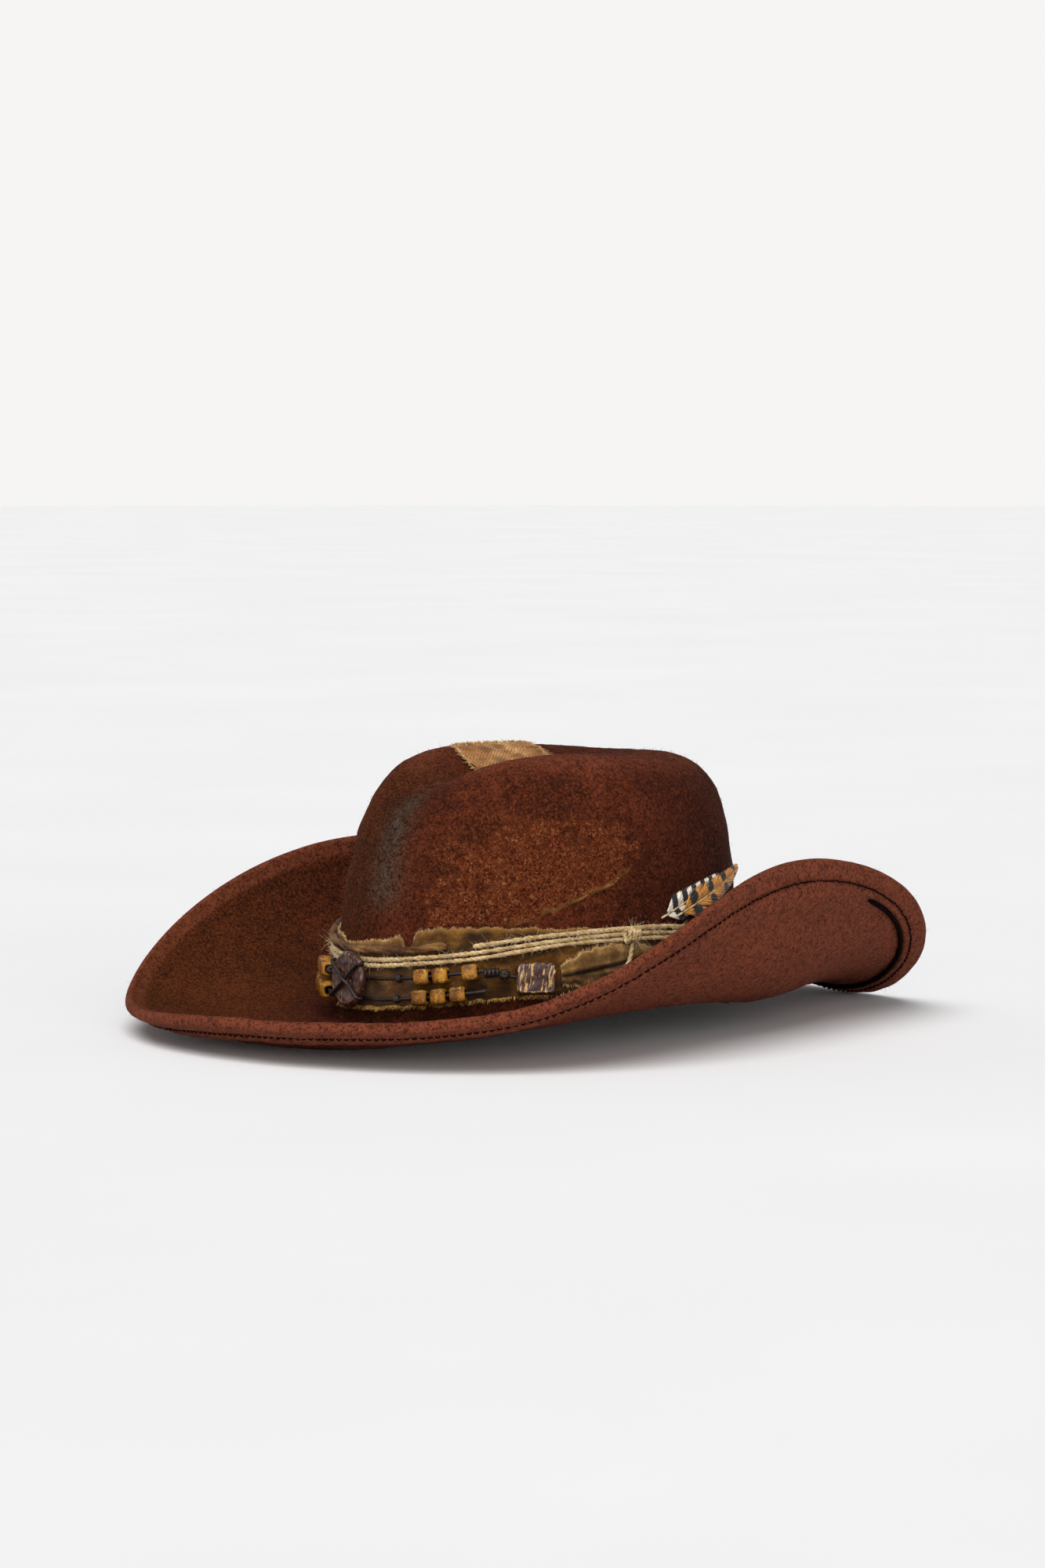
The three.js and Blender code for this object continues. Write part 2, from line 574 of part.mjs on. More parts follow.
// ---- Loose end of the twine: out of its knot, down over the rag and onto the brim ----
const tailRoute = [
  [83.9, -7.5, 47.7], [84.1, -7.9, 45.6], [84.5, -8.6, 43.4], [84.9, -9.5, 41.2],
  [85.1, -10.6, 39.0], [85.2, -11.8, 36.9], [85.3, -13.0, 34.7], [85.5, -14.2, 32.6],
  [85.8, -15.3, 30.4], [86.2, -16.3, 28.2], [86.7, -17.3, 26.1], [87.6, -18.4, 24.3],
  [89.2, -19.7, 23.2], [91.2, -21.1, 22.9], [93.2, -22.4, 23.0], [95.1, -23.6, 23.2],
];
function tailGeometry() {
  const path = new THREE.CatmullRomCurve3(tailRoute.map((p) => new THREE.Vector3(...p)));
  const round = new THREE.Shape(roundSection(twineDiameter, 8).map(([x, y]) => new THREE.Vector2(x, y)));
  return new THREE.ExtrudeGeometry(round, { steps: 12, extrudePath: path, bevelEnabled: false });
}
const tail = new THREE.Mesh(tailGeometry(), jute);
tail.name = 'twine_tail';

const hat = new THREE.Group();
hat.add(shaped, tail);

export default hat;
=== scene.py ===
# A wide-brimmed felt hat with a creased crown and a trimmed band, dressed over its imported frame.
# Sizes are in millimetres and become metres as each mesh is made. The front of the hat faces -Y.
# An angle round the hat is counted from the front towards the wearer's left, which is +X.
import bpy
import math
import numpy as np
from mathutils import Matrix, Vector


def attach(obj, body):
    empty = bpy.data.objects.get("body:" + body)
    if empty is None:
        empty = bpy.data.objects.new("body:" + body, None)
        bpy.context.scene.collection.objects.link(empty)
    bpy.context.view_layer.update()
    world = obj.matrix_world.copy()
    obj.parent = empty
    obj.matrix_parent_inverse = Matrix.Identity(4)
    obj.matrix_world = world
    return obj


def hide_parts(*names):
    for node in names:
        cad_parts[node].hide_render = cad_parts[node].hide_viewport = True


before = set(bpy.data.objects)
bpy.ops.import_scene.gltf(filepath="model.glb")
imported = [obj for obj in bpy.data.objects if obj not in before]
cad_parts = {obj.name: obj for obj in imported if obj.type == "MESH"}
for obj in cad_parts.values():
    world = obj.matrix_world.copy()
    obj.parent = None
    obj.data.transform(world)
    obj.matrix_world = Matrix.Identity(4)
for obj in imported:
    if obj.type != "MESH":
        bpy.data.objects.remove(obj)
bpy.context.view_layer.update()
mm = 0.001
hatShift = np.array([-5.9303, -0.0348, 0.925])   # from the crown's own middle to the frame's origin

# camera, light and floor
view = {
    "turn": 55.27, "rise": 6.34, "distance": 2.3,   # degrees round from the front, degrees up, metres
    "target": (-0.0059, 0.0, 0.0409),
    "lens": 107.5, "shiftX": -0.0096, "shiftY": 0.0994,
}
light = {
    # the sky: a bright ring up to one height and a dimmer dome above another
    "horizon": "#f6f5f4", "overhead": "#787b80", "ringTo": 0.2, "domeFrom": 0.38, "skyStrength": 1.0,
    # suns: watts a square metre, width, and where each stands, in degrees
    "key": {"power": 2.75, "spread": 50, "turn": 40, "rise": 58},
    "fill": {"power": 1.5, "spread": 50, "turn": 66, "rise": 9},
    "sunDistance": 3,
}


def around(turn, rise, away):
    # place at a distance from the target: (sin turn cos rise, -cos turn cos rise, sin rise) away
    a, b = math.radians(turn), math.radians(rise)
    step = Vector((math.sin(a) * math.cos(b), -math.cos(a) * math.cos(b), math.sin(b)))
    return Vector(view["target"]) + step * away


def aimAtHat(thing, place):
    thing.location = place
    thing.rotation_euler = (Vector(view["target"]) - place).to_track_quat("-Z", "Y").to_euler()
    bpy.context.scene.collection.objects.link(thing)


lensBody = bpy.data.cameras.new("camera")
lensBody.lens = view["lens"]
lensBody.shift_x = view["shiftX"]
lensBody.shift_y = view["shiftY"]
lensBody.clip_start = 0.05
camera = bpy.data.objects.new("camera", lensBody)
aimAtHat(camera, around(view["turn"], view["rise"], view["distance"]))
bpy.context.scene.camera = camera

for lampName in ("key", "fill"):
    lamp = bpy.data.lights.new(lampName, "SUN")
    lamp.energy = light[lampName]["power"]
    lamp.angle = math.radians(light[lampName]["spread"])
    place = around(light[lampName]["turn"], light[lampName]["rise"], light["sunDistance"])
    aimAtHat(bpy.data.objects.new(lampName, lamp), place)
bpy.context.scene.view_settings.view_transform = "Standard"
print("camera and lights are up")


# numbers and arrays
noiseRadius = 90


def unit(v):
    return v / np.maximum(np.linalg.norm(v, axis=-1, keepdims=True), 1e-12)


def mix(a, b, t):
    return a + (b - a) * t


def smooth(low, high, x):
    # 0 below low and 1 above high, eased between them by t t (3 - 2t)
    t = np.clip((x - low) / (high - low), 0, 1)
    return t * t * (3 - 2 * t)


def vectors(x, y, z):
    return np.stack(np.broadcast_arrays(x, y, z), axis=-1).astype(float)


def degreesRound(phi):
    # angle round the hat in degrees, from -180 to 180
    return (np.degrees(phi) + 180) % 360 - 180


def bothFaces(values):
    # the same values over the outer face and back over the inner one
    return np.concatenate([values, values[:, ::-1]], 1)


def superOval(turn, n):
    # radius of |x|^n + |y|^n = 1 at each turn
    return 1 / (np.abs(np.cos(turn)) ** n + np.abs(np.sin(turn)) ** n) ** (1 / n)


def ripple(points, length, seed, waves=14):
    # plane sine waves of about this length in random directions, added up to about -1..1
    dice = np.random.default_rng(seed)
    pull = unit(dice.normal(size=(waves, 3))) * dice.uniform(0.7, 1.4, (waves, 1)) * 2 * np.pi / length
    turn = dice.uniform(0, 2 * np.pi, waves)
    return np.sin(points @ pull.T + turn).sum(axis=-1) / np.sqrt(waves)


def noiseRing(phi, height=0):
    # points on a circle about as wide as the crown, for ripples that close on themselves
    return vectors(noiseRadius * np.sin(phi), noiseRadius * np.cos(phi), height)


def roundStations(stations, phi):
    # closed uniform cubic B-spline through evenly spaced stations round the hat
    s = np.asarray(stations, float)
    n = len(s)
    q = (phi / (2 * np.pi)) % 1 * n
    i = np.floor(q).astype(int)
    t = q - i
    before, here, next1, next2 = (s[(i + k) % n] for k in (-1, 0, 1, 2))
    return ((1 - t) ** 3 * before + (3 * t ** 3 - 6 * t * t + 4) * here
            + (-3 * t ** 3 + 3 * t * t + 3 * t + 1) * next1 + t ** 3 * next2) / 6


def runStations(stations, t):
    # eased steps from each station to the next along an open run
    s = np.asarray(stations, float)
    q = np.clip(t, 0, 1) * (len(s) - 1)
    i = np.minimum(q.astype(int), len(s) - 2)
    return mix(s[i], s[i + 1], smooth(0, 1, q - i))


# the felt's two skins, which everything else lies on
hat = {
    "crownLength": 208, "crownWidth": 172, "crownHeight": 124.5, "crownFall": 5,
    "frontTaper": 0.25, "frontBow": 2, "sideTaper": 0.14,
    "frontShoulder": 5, "backShoulder": 6, "topShoulder": 5.6,
    "creaseDepth": 18, "creaseWidth": 26, "creaseEnd": 0.75,
    "footHeight": 12, "sideRise": 6.7, "brimWidth": 102, "thickness": 2.6,
    "foldWidth": 13, "foldGap": 0.4, "stitchInset": 9.5,
    # slope in degrees every 30 degrees round, where the brim leaves the crown and at its rim
    "slopeAtCrown": (-15, -10, -4, -4, -2, 9, 14, 9, -3, -5, -4, -10),
    "slopeAtRim": (34, 26, 17, 92, 116, 60, -44, 38, 62, 104, 58, 10),
}


def footOf(phi):
    # height of the brim at the crown: foot - rise cos 2 phi
    return hat["footHeight"] - hat["sideRise"] * np.cos(2 * phi)


def shoulderOf(phi):
    # how square the crown is over its shoulder, eased from front to back
    return mix(hat["frontShoulder"], hat["backShoulder"], smooth(0, 1, 0.5 - 0.5 * np.cos(phi)))


def crown(phi, u, radius):
    # oval (W/2 sin, -L/2 cos) drawn in by side taper u and front taper u^bow, raised from foot to top
    # by u, less a crease of depth exp(-(x/width)^2) u^4 that eases out towards the back
    back = -np.cos(phi)
    frontLoss = np.where(back < 0, hat["frontTaper"], 0) * back ** 2 * u ** hat["frontBow"]
    r = radius * (1 - frontLoss - hat["sideTaper"] * (1 - back ** 2) * u)
    x = hat["crownWidth"] / 2 * np.sin(phi) * r
    share = back * r
    top = hat["footHeight"] + hat["crownHeight"] - hat["crownFall"] * share
    crease = (hat["creaseDepth"] * smooth(0, 1, hat["creaseEnd"] - share)
              * np.exp(-(x / hat["creaseWidth"]) ** 2) * u ** 4)
    return vectors(x, hat["crownLength"] / 2 * share, mix(footOf(phi), top, u) - crease)


def crownAt(phi, u):
    # the crown by height share u, drawn in over the top by (1 - u^top)^(1/shoulder)
    return crown(phi, u, (1 - u ** hat["topShoulder"]) ** (1 / shoulderOf(phi)))


def crownOver(phi, psi):
    # the same skin by an angle over the shoulder, 0 at the foot and a quarter turn at the top
    return crown(phi, np.sin(psi) ** (2 / hat["topShoulder"]), np.cos(psi) ** (2 / shoulderOf(phi)))


def brim(phi, s, lift):
    # arc of length s whose slope goes evenly from the crown's to the rim's, lifted square to itself
    first = np.radians(roundStations(hat["slopeAtCrown"], phi))
    bend = (np.radians(roundStations(hat["slopeAtRim"], phi)) - first) / hat["brimWidth"]
    chord = s * np.sinc(bend * s / 2 / np.pi)
    mid = first + bend * s / 2
    slope = first + bend * s
    out = unit(vectors(np.sin(phi) / hat["crownWidth"], -np.cos(phi) / hat["crownLength"], 0))
    reach = chord * np.cos(mid) - lift * np.sin(slope)
    x = hat["crownWidth"] / 2 * np.sin(phi) + out[..., 0] * reach
    y = -hat["crownLength"] / 2 * np.cos(phi) + out[..., 1] * reach
    return vectors(x, y, footOf(phi) + chord * np.sin(mid) + lift * np.cos(slope))


def onCrown(phi, h, lift=0.0):
    # place at height h above the crown's foot, lifted off the felt, and its out and up directions
    phi, h, lift = (np.asarray(a, float) for a in np.broadcast_arrays(phi, h, lift))
    u = h / (hat["crownHeight"] + hat["footHeight"] - footOf(phi))
    low = np.maximum(u, 0)
    step = 1e-3
    at = crownAt(phi, low)
    up = unit(crownAt(phi, low + step) - at)
    out = unit(np.cross(crownAt(phi + step, low) - crownAt(phi - step, low), up))
    at = at + up * np.minimum(h, 0)[..., None] + out * lift[..., None]
    return at, out, up


# meshes
def meshPiece(name, points, quads, tris, finish, rides="hat", replaces=(), slot="felt",
              quadUv=None, marks=None):
    # points in millimetres from the crown's middle; faces are turned over if the volume comes out negative
    size = np.concatenate([np.full(len(quads), 4), np.full(len(tris), 3)]).astype(np.int32)
    loops = np.concatenate([quads.ravel(), tris.ravel()]).astype(np.int32)
    corners = points[np.concatenate([quads[:, [0, 1, 2]], quads[:, [0, 2, 3]], tris])]
    volume = np.einsum("ij,ij->i", corners[:, 0], np.cross(corners[:, 1], corners[:, 2])).sum()
    uv = None if quadUv is None else np.concatenate([quadUv.reshape(-1, 2), np.zeros((3 * len(tris), 2))])
    if volume < 0:
        start = np.repeat(np.concatenate([[0], np.cumsum(size)[:-1]]), size)
        turned = 2 * start + np.repeat(size, size) - 1 - np.arange(len(loops))
        loops = loops[turned]
        uv = None if uv is None else uv[turned]
    mesh = bpy.data.meshes.new(name)
    mesh.vertices.add(len(points))
    mesh.vertices.foreach_set("co", ((points + hatShift) * mm).astype(np.float32).ravel())
    mesh.loops.add(len(loops))
    mesh.loops.foreach_set("vertex_index", loops)
    mesh.polygons.add(len(size))
    mesh.polygons.foreach_set("loop_start", np.concatenate([[0], np.cumsum(size)[:-1]]).astype(np.int32))
    if uv is not None:
        layer = mesh.uv_layers.new(name="run")
        layer.data.foreach_set("uv", uv.astype(np.float32).ravel())
    for key, values in (marks or {}).items():
        mark = mesh.attributes.new(key, "FLOAT", "POINT")
        mark.data.foreach_set("value", np.asarray(values, np.float32).ravel())
    mesh.update(calc_edges=True)
    mesh.validate()
    mesh.shade_smooth()
    mesh.materials.append(finish)
    made = bpy.data.objects.new(name, mesh)
    bpy.context.scene.collection.objects.link(made)
    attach(made, rides)
    if replaces:
        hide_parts(*replaces)
    return made


def loft(name, rows, finish, joined=False, along=None, across=None, marks=None, **given):
    # skin over rows of points, each row a closed loop; the rows join up, or the ends are closed
    count, width = rows.shape[:2]
    i = np.arange(count if joined else count - 1)[:, None]
    j = np.arange(width)[None, :]
    ahead, beside = (i + 1) % count, (j + 1) % width
    quads = np.stack([i * width + j, i * width + beside, ahead * width + beside, ahead * width + j],
                     axis=-1).reshape(-1, 4)
    uv = None
    if along is not None:
        a = np.append(along, 2 * along[-1] - along[-2])
        c = np.append(across, 2 * across[-1] - across[-2])
        corners = ((i, j), (i, j + 1), (i + 1, j + 1), (i + 1, j))
        uv = np.stack([np.stack(np.broadcast_arrays(a[m], c[n]), -1) for m, n in corners],
                      axis=2).reshape(-1, 4, 2)
    points = rows.reshape(-1, 3)
    flat = {key: np.broadcast_to(values, (count, width)).ravel() for key, values in (marks or {}).items()}
    tris = np.zeros((0, 3), int)
    if not joined:
        k = np.arange(width)
        last = (count - 1) * width
        first = np.stack([(k + 1) % width, k, np.full(width, len(points))], -1)
        end = np.stack([last + k, last + (k + 1) % width, np.full(width, len(points) + 1)], -1)
        tris = np.concatenate([first, end])
        points = np.concatenate([points, rows[[0, -1]].mean(axis=1)])
        flat = {key: np.concatenate([v, [v[0], v[-1]]]) for key, v in flat.items()}
    return meshPiece(name, points, quads, tris, finish, quadUv=uv, marks=flat, **given)


def strands(name, paths, radius, finish, sides=3, flatness=1.0, lean=None, marks=None, **given):
    # many thin rods at once: paths is strands x points x 3, radius broadcasts over strands x points
    count, length = paths.shape[:2]
    ahead = unit(np.gradient(paths, axis=1))
    dice = np.random.default_rng(len(paths))
    aside = dice.normal(size=(count, 1, 3)) if lean is None else lean.reshape(count, -1, 3)
    out = unit(np.cross(ahead, np.broadcast_to(aside, ahead.shape)))
    side = np.cross(ahead, out)
    turn = np.arange(sides) * 2 * np.pi / sides
    thick = np.broadcast_to(radius, (count, length))[..., None, None]
    ring = (out[:, :, None] * np.cos(turn)[:, None] + side[:, :, None] * np.sin(turn)[:, None] * flatness)
    points = (paths[:, :, None] + ring * thick).reshape(-1, 3)
    i = np.arange(length - 1)[:, None]
    j = np.arange(sides)[None, :]
    one = np.stack([i * sides + j, i * sides + (j + 1) % sides, (i + 1) * sides + (j + 1) % sides,
                    (i + 1) * sides + j], -1).reshape(-1, 4)
    fan = np.stack([np.zeros(sides - 2, int), np.arange(2, sides), np.arange(1, sides - 1)], -1)
    caps = np.concatenate([fan, fan[:, ::-1] + (length - 1) * sides])
    start = (np.arange(count) * length * sides)[:, None, None]
    flat = {key: np.repeat(np.broadcast_to(v, (count, length)).ravel(), sides)
            for key, v in (marks or {}).items()}
    return meshPiece(name, points, (one + start).reshape(-1, 4), (caps + start).reshape(-1, 3), finish,
                     marks=flat, **given)


def lengthAlong(path):
    # distance from the start at each point
    step = np.linalg.norm(np.diff(path, axis=0, append=path[:1]), axis=1)
    return np.concatenate([[0], np.cumsum(step)[:-1]])


def resample(path, spacing):
    # the same open path with evenly spaced points
    run = lengthAlong(path)
    fine = np.linspace(0, run[-1], max(int(run[-1] / spacing), 3) + 1)
    return np.stack([np.interp(fine, run, path[:, k]) for k in range(3)], axis=-1)


def frames(path, guide, joined=False):
    # directions across a path: out is the guide made square to the path, side completes them
    ahead = np.roll(path, -1, 0) - np.roll(path, 1, 0) if joined else np.gradient(path, axis=0)
    ahead = unit(ahead)
    guide = np.broadcast_to(guide, path.shape)
    out = unit(guide - ahead * (guide * ahead).sum(-1, keepdims=True))
    return out, np.cross(ahead, out)


def rope(name, path, guide, diameter, finish, plies=3, pitch=6.5, groove=0.3, sides=18, joined=False,
         rough=0.05, seed=1, **given):
    # round section whose radius dips in a groove between plies, turning once in each pitch
    out, side = frames(path, guide, joined)
    run = lengthAlong(path)
    if joined:
        whole = run[-1] + np.linalg.norm(path[0] - path[-1])
        pitch = whole / max(round(whole / pitch), 1)
    turn = np.arange(sides) * 2 * np.pi / sides
    wind = turn[None] - 2 * np.pi * run[:, None] / pitch
    radius = diameter / 2 * (1 - groove * (1 - np.abs(np.cos(plies * wind / 2))) ** 1.5)
    radius = radius * (1 + rough * ripple(path, 5, seed))[:, None]
    rows = path[:, None] + radius[..., None] * (out[:, None] * np.cos(turn)[:, None]
                                                + side[:, None] * np.sin(turn)[:, None])
    return loft(name, rows, finish, joined=joined, along=run, across=turn * diameter / 2,
                marks={"groove": np.abs(np.cos(plies * wind / 2))}, **given)


# finishes
def tint(text):
    # hexadecimal colour to linear light
    c = [int(text[i:i + 2], 16) / 255 for i in (1, 3, 5)]
    return (*[v / 12.92 if v <= 0.04045 else ((v + 0.055) / 1.055) ** 2.4 for v in c], 1)


def add(tree, kind, values, **settings):
    made = tree.nodes.new("ShaderNode" + kind)
    for key, value in settings.items():
        setattr(made, key, value)
    for key, value in values.items():
        if isinstance(value, bpy.types.NodeSocket):
            tree.links.new(value, made.inputs[key])
        else:
            made.inputs[key].default_value = value
    return made


def noise(tree, at, size, detail=4, roughness=0.55, bend=0.0):
    # cloudy noise with features of about this many millimetres
    return add(tree, "TexNoise", {"Vector": at, "Scale": 1 / (size * mm), "Detail": detail,
                                  "Roughness": roughness, "Distortion": bend}).outputs[0]


def stretched(tree, at, scale, turn=(0, 0, 0)):
    return add(tree, "Mapping", {"Vector": at, "Scale": scale, "Rotation": turn}).outputs[0]


def spread(tree, value, low, high, first=0.0, last=1.0):
    return add(tree, "MapRange", {"Value": value, "From Min": low, "From Max": high, "To Min": first,
                                  "To Max": last}, interpolation_type="SMOOTHSTEP").outputs[0]


def calc(tree, how, a, b=0.5):
    return add(tree, "Math", {0: a, 1: b}, operation=how).outputs[0]


def weigh(tree, a, shareA, b, shareB):
    # a shareA + b shareB
    return calc(tree, "ADD", calc(tree, "MULTIPLY", a, shareA), calc(tree, "MULTIPLY", b, shareB))


def shades(tree, value, *stops):
    made = add(tree, "ValToRGB", {"Fac": value})
    ramp = made.color_ramp
    while len(ramp.elements) < len(stops):
        ramp.elements.new(0.5)
    for element, (place, shade) in zip(ramp.elements, stops):
        element.position = place
        element.color = tint(shade)
    return made.outputs[0]


def over(tree, amount, under, top):
    top = tint(top) if isinstance(top, str) else top
    return add(tree, "Mix", {0: amount, 6: under, 7: top}, data_type="RGBA").outputs[2]


def mark(tree, name):
    return add(tree, "Attribute", {}, attribute_name=name).outputs["Fac"]


def bump(tree, height, depth):
    return add(tree, "Bump", {"Height": height, "Distance": depth * mm, "Strength": 1.0}).outputs[0]


def newFinish(name):
    made = bpy.data.materials.new(name)
    made.use_nodes = True
    tree = made.node_tree
    tree.nodes.clear()
    at = add(tree, "TexCoord", {}).outputs["Object"]
    return made, tree, at


def surface(tree, colour, roughness, normal, **sockets):
    # one principled surface from a colour, a roughness, a normal and named sockets
    values = {"Base Color": colour, "Roughness": roughness, "Normal": normal}
    for key, value in sockets.items():
        values[key.replace("_", " ")] = value
    made = add(tree, "BsdfPrincipled", values)
    out = tree.nodes.new("ShaderNodeOutputMaterial")
    tree.links.new(made.outputs[0], out.inputs["Surface"])


def feltFinish():
    # red-brown wool: cloudy tones, crumbs with dark pits between them, and pale fibres; the worn mark
    # bares golden curls, the chalk mark lays a grey-green bloom, painted light evens and lightens the
    # brim's underside and the crown's top rim, and a darker mark lays dirt mixed with painted shade
    made, tree, at = newFinish("wool felt")
    cloud = noise(tree, at, 42, 3, 0.6)
    patch = noise(tree, at, 9, 5, 0.6, 0.4)
    crumb = noise(tree, at, 3.4, 4, 0.75, 0.3)
    pit = noise(tree, at, 1.3, 5, 0.78)
    fibre = noise(tree, stretched(tree, at, (1, 1, 0.35)), 0.6, 3, 0.6)
    tone = weigh(tree, cloud, 0.55, patch, 0.45)
    base = shades(tree, tone, (0.34, "#3f1b0f"), (0.47, "#5b2716"), (0.58, "#70331e"), (0.7, "#7f3f26"))
    grain = weigh(tree, crumb, 0.3, pit, 0.7)
    # painted light: a paler brown over the brim's underside, its edge, the inside and the crown's top rim
    base = over(tree, mark(tree, "painted_light"), base, "#9a523a")
    base = over(tree, spread(tree, grain, 0.41, 0.54, 0.8, 0.0), base, "#150604")
    base = over(tree, spread(tree, grain, 0.52, 0.64, 0.0, 0.6), base, "#96502f")
    base = over(tree, spread(tree, fibre, 0.58, 0.76, 0.0, 0.35), base, "#a3633f")
    # dirt mottling mixed with painted shade, broken up by the patch noise
    dirt_and_shade = calc(tree, "MULTIPLY", mark(tree, "dirt_and_shade"), spread(tree, patch, 0.36, 0.6, 0.25, 1.0))
    base = over(tree, calc(tree, "MULTIPLY", dirt_and_shade, 0.85), base, "#1f0d05")
    rust = calc(tree, "MULTIPLY", mark(tree, "rust"), spread(tree, pit, 0.42, 0.62))
    base = over(tree, rust, base, "#7a4415")
    ragged = calc(tree, "ADD", mark(tree, "worn"), calc(tree, "MULTIPLY", calc(tree, "SUBTRACT", patch), 1.2))
    ragged = calc(tree, "ADD", ragged, calc(tree, "MULTIPLY", calc(tree, "SUBTRACT", crumb), 0.5))
    worn = spread(tree, ragged, 0.38, 0.68)
    curls = noise(tree, at, 1.5, 6, 0.75, 1.2)
    bared = shades(tree, curls, (0.4, "#2a0b04"), (0.47, "#7c361b"), (0.56, "#a2542f"), (0.67, "#dfa466"))
    base = over(tree, calc(tree, "MULTIPLY", worn, 0.9), base, bared)
    torn = mark(tree, "torn")
    base = over(tree, calc(tree, "MULTIPLY", torn, spread(tree, curls, 0.36, 0.52)), base, "#c08a4a")
    chalk = calc(tree, "MULTIPLY", mark(tree, "chalk"), spread(tree, grain, 0.42, 0.6))
    base = over(tree, calc(tree, "MULTIPLY", chalk, 0.75), base, "#5a574a")
    height = weigh(tree, grain, 1.6, fibre, 0.4)
    rough = calc(tree, "MULTIPLY", calc(tree, "MULTIPLY", curls, 2.6), worn)
    normal = bump(tree, calc(tree, "ADD", height, rough), 1.9)
    surface(tree, base, spread(tree, pit, 0.4, 0.56, 0.98, 0.88), normal, Sheen_Weight=0.03,
            Sheen_Roughness=0.4, Sheen_Tint=tint("#b4603a"), Specular_IOR_Level=0.07)
    return made


def clothFinish(name, dark, mid, light_, thread=0.75, stainAndShade="#2a1a0c"):
    # plain weave on the piece's own run: crossed threads as sin sin ridges, worn pale on top; a darker
    # mark lays dirt and painted shade in folds; a piece without the darker and pale marks reads both as
    # nought
    made, tree, at = newFinish(name)
    run = add(tree, "UVMap", {}, uv_map="run").outputs[0]
    split = add(tree, "SeparateXYZ", {"Vector": run})
    warp = calc(tree, "SINE", calc(tree, "MULTIPLY", split.outputs[0], math.pi / thread))
    weft = calc(tree, "SINE", calc(tree, "MULTIPLY", split.outputs[1], math.pi / thread))
    cross = calc(tree, "MULTIPLY", warp, weft)
    weave = spread(tree, cross, -1, 1)
    slub = noise(tree, stretched(tree, run, (0.02, 0.4, 1)), 1000, 3, 0.6)
    cloud = noise(tree, at, 14, 5, 0.65)
    grain = noise(tree, at, 0.9, 4, 0.7)
    tone = weigh(tree, cloud, 0.6, grain, 0.4)
    base = shades(tree, tone, (0.36, dark), (0.5, mid), (0.64, light_))
    base = over(tree, spread(tree, weave, 0.25, 0.6, 0.55, 0.0), base, stainAndShade)
    base = over(tree, spread(tree, slub, 0.55, 0.75, 0.0, 0.4), base, light_)
    # dirt, and painted shade in the folds and creases of the cloth
    base = over(tree, mark(tree, "dirt_and_shade"), base, stainAndShade)
    base = over(tree, mark(tree, "pale"), base, light_)
    height = calc(tree, "ADD", weave, calc(tree, "MULTIPLY", grain, 0.8))
    surface(tree, base, 0.92, bump(tree, height, 0.3), Sheen_Weight=0.08, Specular_IOR_Level=0.12)
    return made


def twistFinish(name, dark, mid, light_, roughness, sheen=0.1, fibre=0.35, gloss=0.2):
    # fibres that run round with the twist, with painted shade darkening the grooves between plies
    made, tree, at = newFinish(name)
    run = add(tree, "UVMap", {}, uv_map="run").outputs[0]
    streak = noise(tree, stretched(tree, run, (0.25, 1, 1), (0, 0, 0.9)), fibre * 1000, 4, 0.65)
    cloud = noise(tree, at, 7, 4, 0.6)
    tone = weigh(tree, streak, 0.6, cloud, 0.4)
    base = shades(tree, tone, (0.36, dark), (0.5, mid), (0.64, light_))
    groove = mark(tree, "groove")
    # painted shade down in the grooves between plies
    base = over(tree, spread(tree, groove, 0.0, 0.45, 0.8, 0.0), base, dark)
    height = calc(tree, "ADD", streak, calc(tree, "MULTIPLY", cloud, 0.3))
    surface(tree, base, roughness, bump(tree, height, 0.18), Sheen_Weight=sheen,
            Specular_IOR_Level=gloss)
    return made


def hairFinish(name, dark, light_):
    # one tone along each fibre, from noise so coarse that a fibre hardly changes
    made, tree, at = newFinish(name)
    tone = noise(tree, at, 3.5, 3, 0.7)
    fine = noise(tree, at, 0.5, 2, 0.6)
    base = shades(tree, tone, (0.35, dark), (0.65, light_))
    surface(tree, base, spread(tree, fine, 0.3, 0.7, 0.7, 0.95), bump(tree, fine, 0.05),
            Sheen_Weight=0.1, Specular_IOR_Level=0.3)
    return made


def woodFinish():
    # rings along one way of the wood, bent by noise; darker over the edges and rims in blotches, and painted
    # shade in the bore
    made, tree, at = newFinish("golden bead wood")
    bent = noise(tree, stretched(tree, at, (1, 1, 0.3), (0.4, 0.7, 0.2)), 5, 4, 0.6)
    line = noise(tree, stretched(tree, at, (0.12, 1, 1), (0.3, 0.5, 0.9)), 0.45, 4, 0.7)
    tone = weigh(tree, bent, 0.5, line, 0.5)
    base = shades(tree, tone, (0.36, "#341802"), (0.46, "#764608"), (0.54, "#a86e14"), (0.64, "#d29a34"))
    blotch = noise(tree, at, 1.1, 5, 0.7)
    # darker over the edges and rims, broken into blotches
    edgeDark = calc(tree, "MULTIPLY", mark(tree, "edge"), spread(tree, blotch, 0.42, 0.58))
    base = over(tree, calc(tree, "MULTIPLY", edgeDark, 0.75), base, "#2c1202")
    # painted shade inside the bore
    base = over(tree, mark(tree, "bore"), base, "#0e0602")
    surface(tree, base, spread(tree, blotch, 0.3, 0.7, 0.26, 0.42), bump(tree, line, 0.12),
            Specular_IOR_Level=0.35)
    return made


